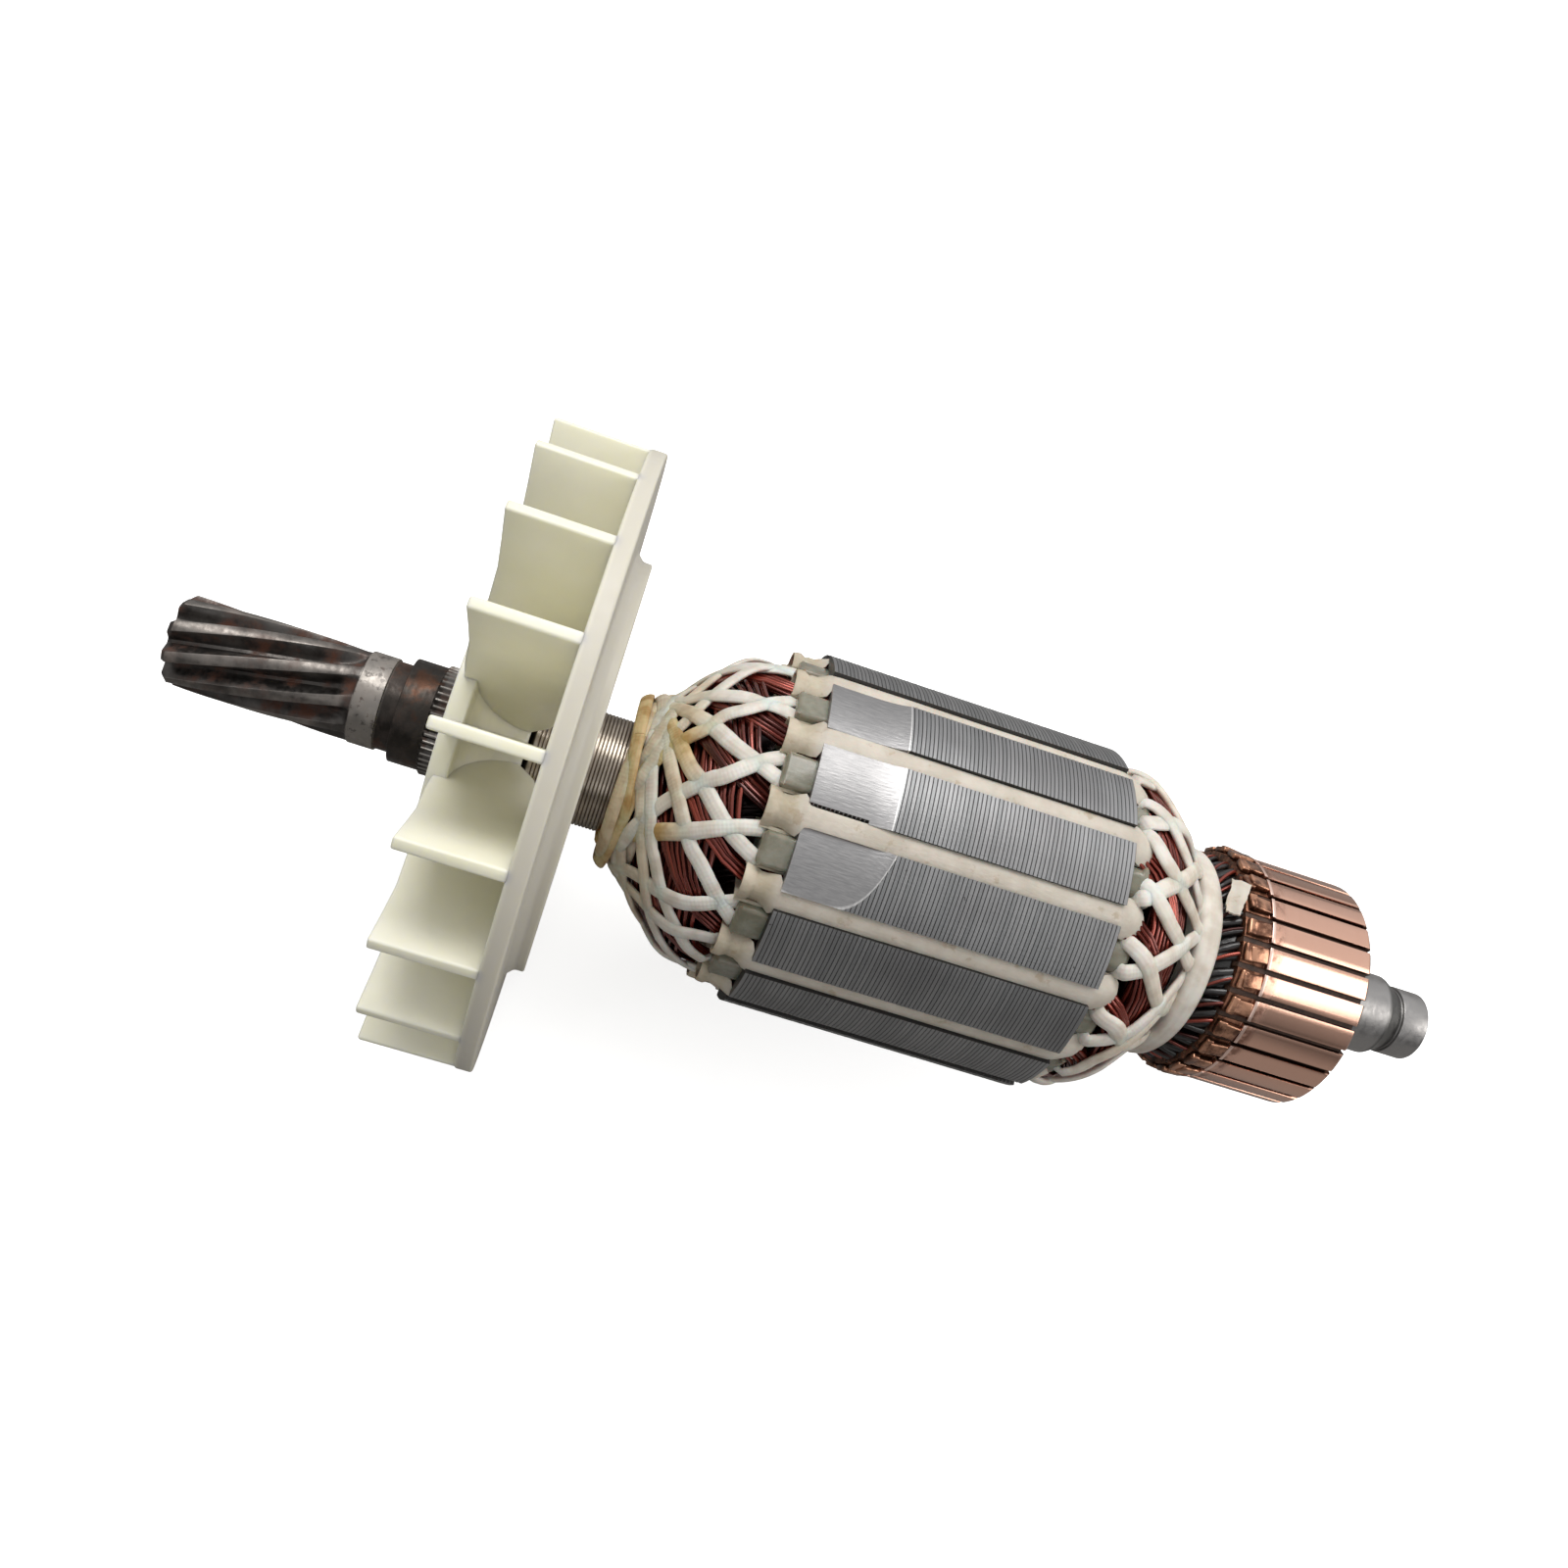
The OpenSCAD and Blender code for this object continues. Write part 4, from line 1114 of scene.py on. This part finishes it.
chance = random.Random(4)
lacing = marked_mesh("along", "across", "soaked")
for way, sign in (("up", -1), ("down", 1)):
    for slot in range(SLOTS):
        rows = SHORT[way].get(slot)
        if rows is None:
            start = slot * PITCH + (-8.5 if way == "up" else 7.0) + chance.uniform(-1.5, 1.5)
            rows = [(20.6, start), (22.2, start + sign * 1.5), (24.6, start + sign * 6), (27.4, start + sign * 13),
                    (30.2, start + sign * 20), (33.6, start + sign * 28)]
        lay_cord(lacing, COMM_DOME, rows, way == "up", chance, chance.uniform(0.0, 0.3), 22, wide=2.1, thick=0.95)
finish_piece("lacing_commutator_end", lacing, lacing_white, ["lacing_commutator"], corner=70)

# %% [markdown]
# The binding is several turns of the same cord drawn tight side by side and smooth with varnish. Only the low
# ribs of the turns still show, so one turned profile with those ribs is enough. A slow swell round it keeps
# it from looking machined.

# %% Cord binding
band = marked_mesh("along", "across", "soaked")
soaked = band.verts.layers.float["soaked"]
profile = [(32.2, 10.4), (32.25, 12.6), (32.5, 13.3), (32.9, 13.62), (33.3, 13.72), (33.55, 13.66), (33.8, 13.76),
           (34.2, 13.78), (34.5, 13.7), (34.8, 13.68), (35.15, 13.45), (35.45, 13.0), (35.6, 12.3), (35.6, 10.4)]
turn_outline(band, profile)
for v in band.verts:
    turn = math.degrees(math.atan2(-v.co.y, v.co.z))
    far = math.hypot(v.co.y, v.co.z) / MM
    if far > 12:
        swell = 0.18 + 0.10 * math.sin(math.radians(3 * turn + 40)) + 0.05 * math.sin(math.radians(7 * turn))
        v.co.x += 0.2 * MM * math.sin(math.radians(turn + 30))
        v.co.yz = Vector(v.co.yz) * (1 + swell / far)
    v[soaked] = 0.10
finish_piece("cord_binding", band, lacing_white, ["binding_band"], corner=70)

# %% [markdown]
# ## End stars
# The fingers of the end stars keep the wires off the core's sharp corners. On the drive side they are square
# blocks with a rounded back; on the commutator side they are short round-nosed stubs. One finger is a box
# with bevelled edges, repeated over every tooth, on a turned hub ring.

# %% End stars


FINGER_W, FINGER_ROOT = 4.1, 8


def star(name, start, end, top, nose, crown, node):
    """Fingers from the hub ring up to `top`, with rounded noses and crowns."""
    finger = bmesh.new()
    bmesh.ops.create_cube(finger, size=1.0)
    bmesh.ops.scale(finger, vec=((end - start) * MM, FINGER_W * MM, (top - FINGER_ROOT) * MM), verts=finger.verts)
    bmesh.ops.translate(finger, vec=at((start + end) / 2, (top + FINGER_ROOT) / 2), verts=finger.verts)
    free = end if end > 0 else start
    outer = [e for e in finger.edges if all(abs(v.co.x / MM + CORE_TO_SEAT - free) < 0.01 for v in e.verts)]
    round_off(finger, outer, nose, 5)
    along = [e for e in finger.edges if abs(e.verts[0].co.x - e.verts[1].co.x) > 0.5 * MM
             and min(v.co.z for v in e.verts) > 12 * MM and len(e.link_faces) == 2 and e.calc_face_angle() > 0.8]
    round_off(finger, along, crown, 4)
    fingers = copied_round(finger, [(k + 0.5) * PITCH for k in range(SLOTS)])
    turn_outline(fingers, [(start, 6.2), (start, 10.6), (end, 10.6), (end, 6.2)], rounding=0.3, steps=56)
    finish_piece(name, fingers, star_nylon, [node])


star("star_fingers_drive", -CORE_END - 3.6, -CORE_END, 20.9, 0.6, 0.6, "end_star_drive")
star("star_fingers_commutator", CORE_END, CORE_END + 3.4, 20.6, 1.3, 1.5, "end_star_commutator")

# %% [markdown]
# ## Slot papers
# A strip of pressboard closes each slot. It bows up a little between the tooth tips. Past the core it is no
# longer held by the steel: at the drive end it opens into a folded lobe with a pinched waist, at the
# commutator end into a rounded tongue. The strip is one bent section, drawn along the slot while its half
# width and height change.

# %% Slot papers
PAPER = 0.34
PAPER_ROWS = [(-23.25, 2.55, 21.35, 1.7), (-22.9, 2.5, 21.45, 1.7), (-22.3, 2.35, 21.5, 1.6),
              (-21.7, 2.1, 21.15, 1.5), (-21.2, 2.0, 21.3, 1.4), (-20.6, 2.05, 21.3, 1.3), (-19.9, 2.35, 21.6, 1.2),
              (-19.3, 2.5, 21.8, 0.9), (-18.98, 2.0, 21.95, 0.5), (-18.7, 1.3, 22.05, 0.25),
              (-18.0, 1.2, 22.1, 0.2), (-9, 1.2, 22.15, 0.2), (0, 1.2, 22.1, 0.2), (9, 1.2, 22.15, 0.2),
              (18.0, 1.2, 22.1, 0.2), (18.7, 1.3, 22.05, 0.25), (19.0, 1.9, 21.9, 0.6), (19.4, 2.35, 21.8, 1.0),
              (20.2, 2.55, 21.5, 1.2), (21.0, 2.5, 21.1, 1.3), (21.7, 2.2, 20.7, 1.2), (22.2, 1.7, 20.3, 0.9),
              (22.5, 1.0, 20.0, 0.5)]


def paper_section(half, top, drop):
    """Outer and inner edge of the bent sheet, as (sideways, height)."""
    shares = (-1, -0.9, -0.72, -0.45, -0.15, 0.15, 0.45, 0.72, 0.9, 1)
    upper = [(half * s, top - drop * abs(s) ** 2.6) for s in shares]
    lower = [(s * (half - 0.25) / half, h - PAPER) for s, h in reversed(upper)]
    return upper + lower


chance = random.Random(11)
papers = bmesh.new()
for slot in range(SLOTS):
    sheet = bmesh.new()
    pinch, lift = chance.uniform(-0.25, 0.2), chance.uniform(-0.12, 0.12)
    rings = []
    for x, half, top, drop in PAPER_ROWS:
        outside = min(1.0, max(0.0, abs(x) - 19.0))
        half += outside * pinch * 0.6
        top += outside * lift
        x += outside * chance.uniform(-0.08, 0.08)
        tilt = outside * (0.25 if x < 0 else 0.1) * pinch
        rings.append(loop_of(sheet, [at(x, 0) + Vector((0, -w, h + tilt * w)) * MM
                                     for w, h in paper_section(half, top, drop)]))
    skin_loops(sheet, rings)
    bmesh.ops.rotate(sheet, verts=sheet.verts, cent=(0, 0, 0),
                     matrix=Matrix.Rotation(math.radians(slot * PITCH), 3, "X"))
    add_to(papers, sheet)
wedges = [f"slot_wedge_{i}" for i in range(1, SLOTS + 1)]
finish_piece("slot_papers", papers, pressboard, wedges, corner=50)

# %% [markdown]
# ## Commutator
# Each bar is cut from one drawn section: riser, step and track. Its sides stay parallel to the gap beside
# it, which is what undercutting with a small saw leaves. Every long edge is broken by a tiny bevel.

# %% Bars
BARS = 28
BAR_PHASE = 1.41
BAR_GAP = 0.62
bar = bmesh.new()
half_bar = math.pi / BARS
side_view = [(38.0, 11.4), (38.0, 14.35), (41.2, 14.35), (41.2, 15.06), (41.65, 15.06), (41.65, 14.9), (54.5, 14.9),
             (54.9, 14.5), (54.9, 11.4)]
loops = []
for f in (-1, -0.5, 0, 0.5, 1):
    widths = [f * (r * math.sin(half_bar) - BAR_GAP / 2) for x, r in side_view]
    loops.append(loop_of(bar, [at(x, 0) + Vector((0, -wide, math.sqrt(r * r - wide * wide))) * MM
                               for (x, r), wide in zip(side_view, widths)]))
skin_loops(bar, loops)
bmesh.ops.recalc_face_normals(bar, faces=bar.faces)
crisp = [e for e in bar.edges if len(e.link_faces) == 2 and e.calc_face_angle() > 0.7
         and min(math.hypot(v.co.y, v.co.z) for v in e.verts) > 12 * MM]
round_off(bar, crisp, 0.07, 2)
bars = copied_round(bar, [BAR_PHASE + (k + 0.5) * 360 / BARS for k in range(BARS)])
finish_piece("commutator_segments", bars, bar_copper, ["commutator_bars"], corner=30)

# %% [markdown]
# Over each riser a hook was bent down on its wires and staked hot, so the hooks are uneven. A hook is a box with
# rounded edges; chance gives each one its own size, lean and place.

# %% Hooks
chance = random.Random(9)
hooks = bmesh.new()
for k in range(BARS):
    for low, length, wide, place_x in ((14.1, 2.5, 2.05, 39.95), (14.35, 1.1, 2.35, 38.75)):
        hook = bmesh.new()
        bmesh.ops.create_cube(hook, size=1.0)
        tall = (1.05 if length > 2 else 0.75) + chance.uniform(-0.08, 0.1)
        size = Vector((length + chance.uniform(-0.15, 0.1), wide + chance.uniform(-0.3, 0.1), tall))
        bmesh.ops.scale(hook, vec=size * MM, verts=hook.verts)
        round_off(hook, list(hook.edges), 0.22)
        lean = (Matrix.Rotation(math.radians(chance.uniform(-7, 7)), 4, "Z")
                @ Matrix.Rotation(math.radians(chance.uniform(-3, 8)), 4, "Y")
                @ Matrix.Rotation(math.radians(chance.uniform(-5, 5)), 4, "X"))
        turn = BAR_PHASE + (k + 0.5) * 360 / BARS + chance.uniform(-0.6, 0.6)
        place = turned_to(turn) @ Matrix.Translation(at(place_x + chance.uniform(-0.1, 0.1), low + tall / 2)) @ lean
        bmesh.ops.transform(hook, matrix=place, verts=hook.verts)
        add_to(hooks, hook)
finish_piece("riser_hooks", hooks, hook_copper, ["commutator_bars"], corner=40)

# %% [markdown]
# ## Leads
# Between the cord binding and the risers the coil leads climb to the bars, two to a bar, buried in glossy
# black varnish. Some wires show their red enamel where they come out on top. The varnish bed is a turned cone
# with a round black run over each pair of leads.

# %% Leads and varnish
LEAD_CONE = [(34.0, 12.4), (35.5, 12.6), (36.5, 13.1), (37.5, 13.7), (38.4, 14.1), (39.0, 14.3)]
LEAD_STEPS = 8


def lead_rows(start, lean, bend, low, arch):
    """The way of one lead up the cone: it leans over at the start and arches by a few tenths."""
    return [(34.6 + 0.47 * i, start + lean * (1 - i / LEAD_STEPS) ** bend,
             low + arch * math.sin(math.pi * i / LEAD_STEPS)) for i in range(LEAD_STEPS + 1)]


chance = random.Random(31)
bed = bmesh.new()
turn_outline(bed, [(32.6, 6.3), (32.6, 10.4), (35.2, 11.2), (36.4, 11.9), (38.0, 12.9), (38.0, 6.3)], rounding=0.3,
             steps=56)
leads = marked_mesh("shade", "depth")
for k in range(BARS):
    for part in range(2):
        start = BAR_PHASE + (k + 0.28 + 0.44 * part) * 360 / BARS + chance.uniform(-1.6, 1.6)
        lean, sag = chance.uniform(4, 15), chance.uniform(-0.35, 0.15)
        frames = laid_frames(LEAD_CONE, lead_rows(start, lean, 1.3, -0.6 + sag, 0.25))
        strand(bed, frames, 8, chance.uniform(0.35, 0.65), chance.uniform(0.3, 0.5))
    start = BAR_PHASE + (k + 0.5) * 360 / BARS + chance.uniform(-2.0, 2.0)
    lean = chance.uniform(5, 18)
    top = chance.uniform(-0.25, 0.2)
    frames = laid_frames(LEAD_CONE, lead_rows(start, lean, 1.5, top - 0.25, 0.3))
    buried = chance.choice((0.0, 0.2, 0.5, 0.9))
    strand(leads, frames, 8, WIRE_R, WIRE_R, {"shade": chance.uniform(0.5, 1.0)},
           {"depth": [min(1.0, buried + (0.5 if i in (0, LEAD_STEPS) else 0.0)) for i in range(LEAD_STEPS + 1)]})
finish_piece("lead_varnish", bed, black_resin, ["lead_wires"], corner=60)
finish_piece("lead_copper", leads, wire_enamel, ["lead_wires"], corner=60)

# %% [markdown]
# A torn end of insulating paper sticks out over the leads at the top. It is a thin sheet, bent and ragged, so it
# starts as a grid whose edge points are moved by chance, then gets its thickness.

# %% Paper tongue
TONGUE_T = 0.28
tongue = bmesh.new()
bmesh.ops.create_grid(tongue, x_segments=10, y_segments=7, size=0.5)
chance = random.Random(13)
for v in tongue.verts:
    u, w = v.co.x, v.co.y
    ragged = 0.10 if v.is_boundary else 0.0
    along = 5.2 * u + chance.uniform(-1, 1) * ragged
    wide = 2.1 * w * (1.0 + 0.3 * u) + chance.uniform(-1, 1) * ragged + 0.2 * math.sin(5 * u)
    rise = 0.10 * math.cos(2.6 * u) + 0.12 * math.sin(7 * w + 3 * u) - 0.9 * u * u
    v.co = Vector((along, -wide, rise)) * MM
thick = bmesh.ops.extrude_face_region(tongue, geom=list(tongue.faces))["geom"]
bmesh.ops.translate(tongue, vec=(0, 0, -TONGUE_T * MM), verts=points_of(thick))
place = turned_to(-6) @ Matrix.Translation(at(36.7, 14.75)) @ Matrix.Rotation(math.radians(-16), 4, "Y")
bmesh.ops.transform(tongue, matrix=place @ Matrix.Rotation(math.radians(78), 4, "Z"), verts=tongue.verts)
finish_piece("torn_paper", tongue, pressboard, ["paper_tongue"], corner=60)

# %% [markdown]
# ## Shaft
# The shaft is turned from one outline: ring, seat, knurled fan seat, body, cone and the small bearing seat. The
# knurl is a ring of ridges drawn along. The pinion is cut by a hob, so its section turns steadily as it
# goes along, its tips are a little rounded and its gaps rise in a scoop where the hob ran out.

# %% Shaft
PINION = (-93.5, -71.4)
TEETH = 9
TWIST = 2.65
TOOTH = [(0.0, 0.0), (0.07, 0.0), (0.13, 0.10), (0.19, 0.32), (0.245, 0.60), (0.285, 0.84), (0.32, 0.97),
         (0.36, 1.0), (0.49, 1.0), (0.62, 1.0), (0.66, 0.97), (0.70, 0.84), (0.74, 0.60), (0.795, 0.32),
         (0.855, 0.10), (0.93, 0.0)]


ROOT_R, TIP_R = 3.8, 5.6
RUN_OUT, CHAMFER = 7.1, 0.6


def pinion_radius(x, share):
    """Radius of the tooth outline here; `share` is 0 in a gap and 1 on a tip."""
    gone = max(0.0, (x - PINION[1] + RUN_OUT) / RUN_OUT)
    root = ROOT_R + (TIP_R - ROOT_R) * (1 - math.sqrt(max(0.0, 1 - gone * gone)))
    tip = TIP_R - max(0.0, CHAMFER - (x - PINION[0]))
    return root + (max(tip, root) - root) * share


steel = bmesh.new()
rings = []
cut_from = PINION[0] + CHAMFER
stations = [PINION[0], PINION[0] + CHAMFER / 2] + [cut_from + (PINION[1] - cut_from) * i / 72 for i in range(73)]
for x in stations:
    rings.append(loop_of(steel, [at(x, pinion_radius(x, h), (k + p) * 360 / TEETH - TWIST * (x - PINION[0]))
                                 for k in range(TEETH) for p, h in TOOTH]))
skin_loops(steel, rings)
turn_outline(steel, [(-71.4, 0), (-71.4, 5.75), (-68.2, 5.75), (-68.2, 5.5), (-66.2, 5.5), (-66.2, 6.5), (-62.3, 6.5),
                     (-62.3, 6.3), (-50.6, 6.3), (-50.6, 5.3), (64.9, 5.3), (67.0, 4.1), (67.3, 4.1), (67.3, 4.5),
                     (70.8, 4.5), (71.2, 3.9), (71.2, 1.1), (69.6, 0)], rounding=0.14, steps=96)
RIDGES = 48
RIDGE = ((0.0, 0.02), (0.25, 0.2), (0.4, 0.38), (0.6, 0.38), (0.75, 0.2))
skin_loops(steel, [
    loop_of(steel, [at(x, 6.5 + share * h, (k + p) * 360 / RIDGES) for k in range(RIDGES) for p, h in RIDGE])
    for x, share in ((-62.5, 0.0), (-62.2, 1.0), (-56.5, 1.0), (-50.9, 1.0), (-50.6, 0.0))])
finish_piece("turned_shaft", steel, shaft_steel, ["shaft"], corner=32)

# %% [markdown]
# ## Finishes of the plain nodes
# The nodes below keep their CAD shape: turned rings and papers that are already as fine as they look, or that
# lie under the pieces made above. Each gets its own finish.

# %% Finishes of the plain nodes
plain = {"spacer_sleeve": sleeve_steel, "shaft_insulation": pressboard, "commutator_mica": mica,
         "commutator_hub": black_resin, "commutator_bush": bush_steel}
plain.update({f"slot_liner_{i}": pressboard for i in range(1, SLOTS + 1)})
for node, material in plain.items():
    frame["nodes"][node].data.materials.clear()
    frame["nodes"][node].data.materials.append(material)
print("plain nodes finished:", len(plain))

# %% [markdown]
# ## Sizes
# The last cell measures the finished armature beside the CAD one and prints how much larger it is.
# Anything added should stay within the CAD outline, apart from a fraction of a millimetre of cord or
# varnish.

# %% Sizes
view_box = [list(corner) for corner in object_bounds()]
grown = [round(1000 * max(c0 - v0, v1 - c1), 2) for c0, c1, v0, v1 in zip(*cad_box, *view_box)]
print("larger than the CAD model by, in mm:", grown)
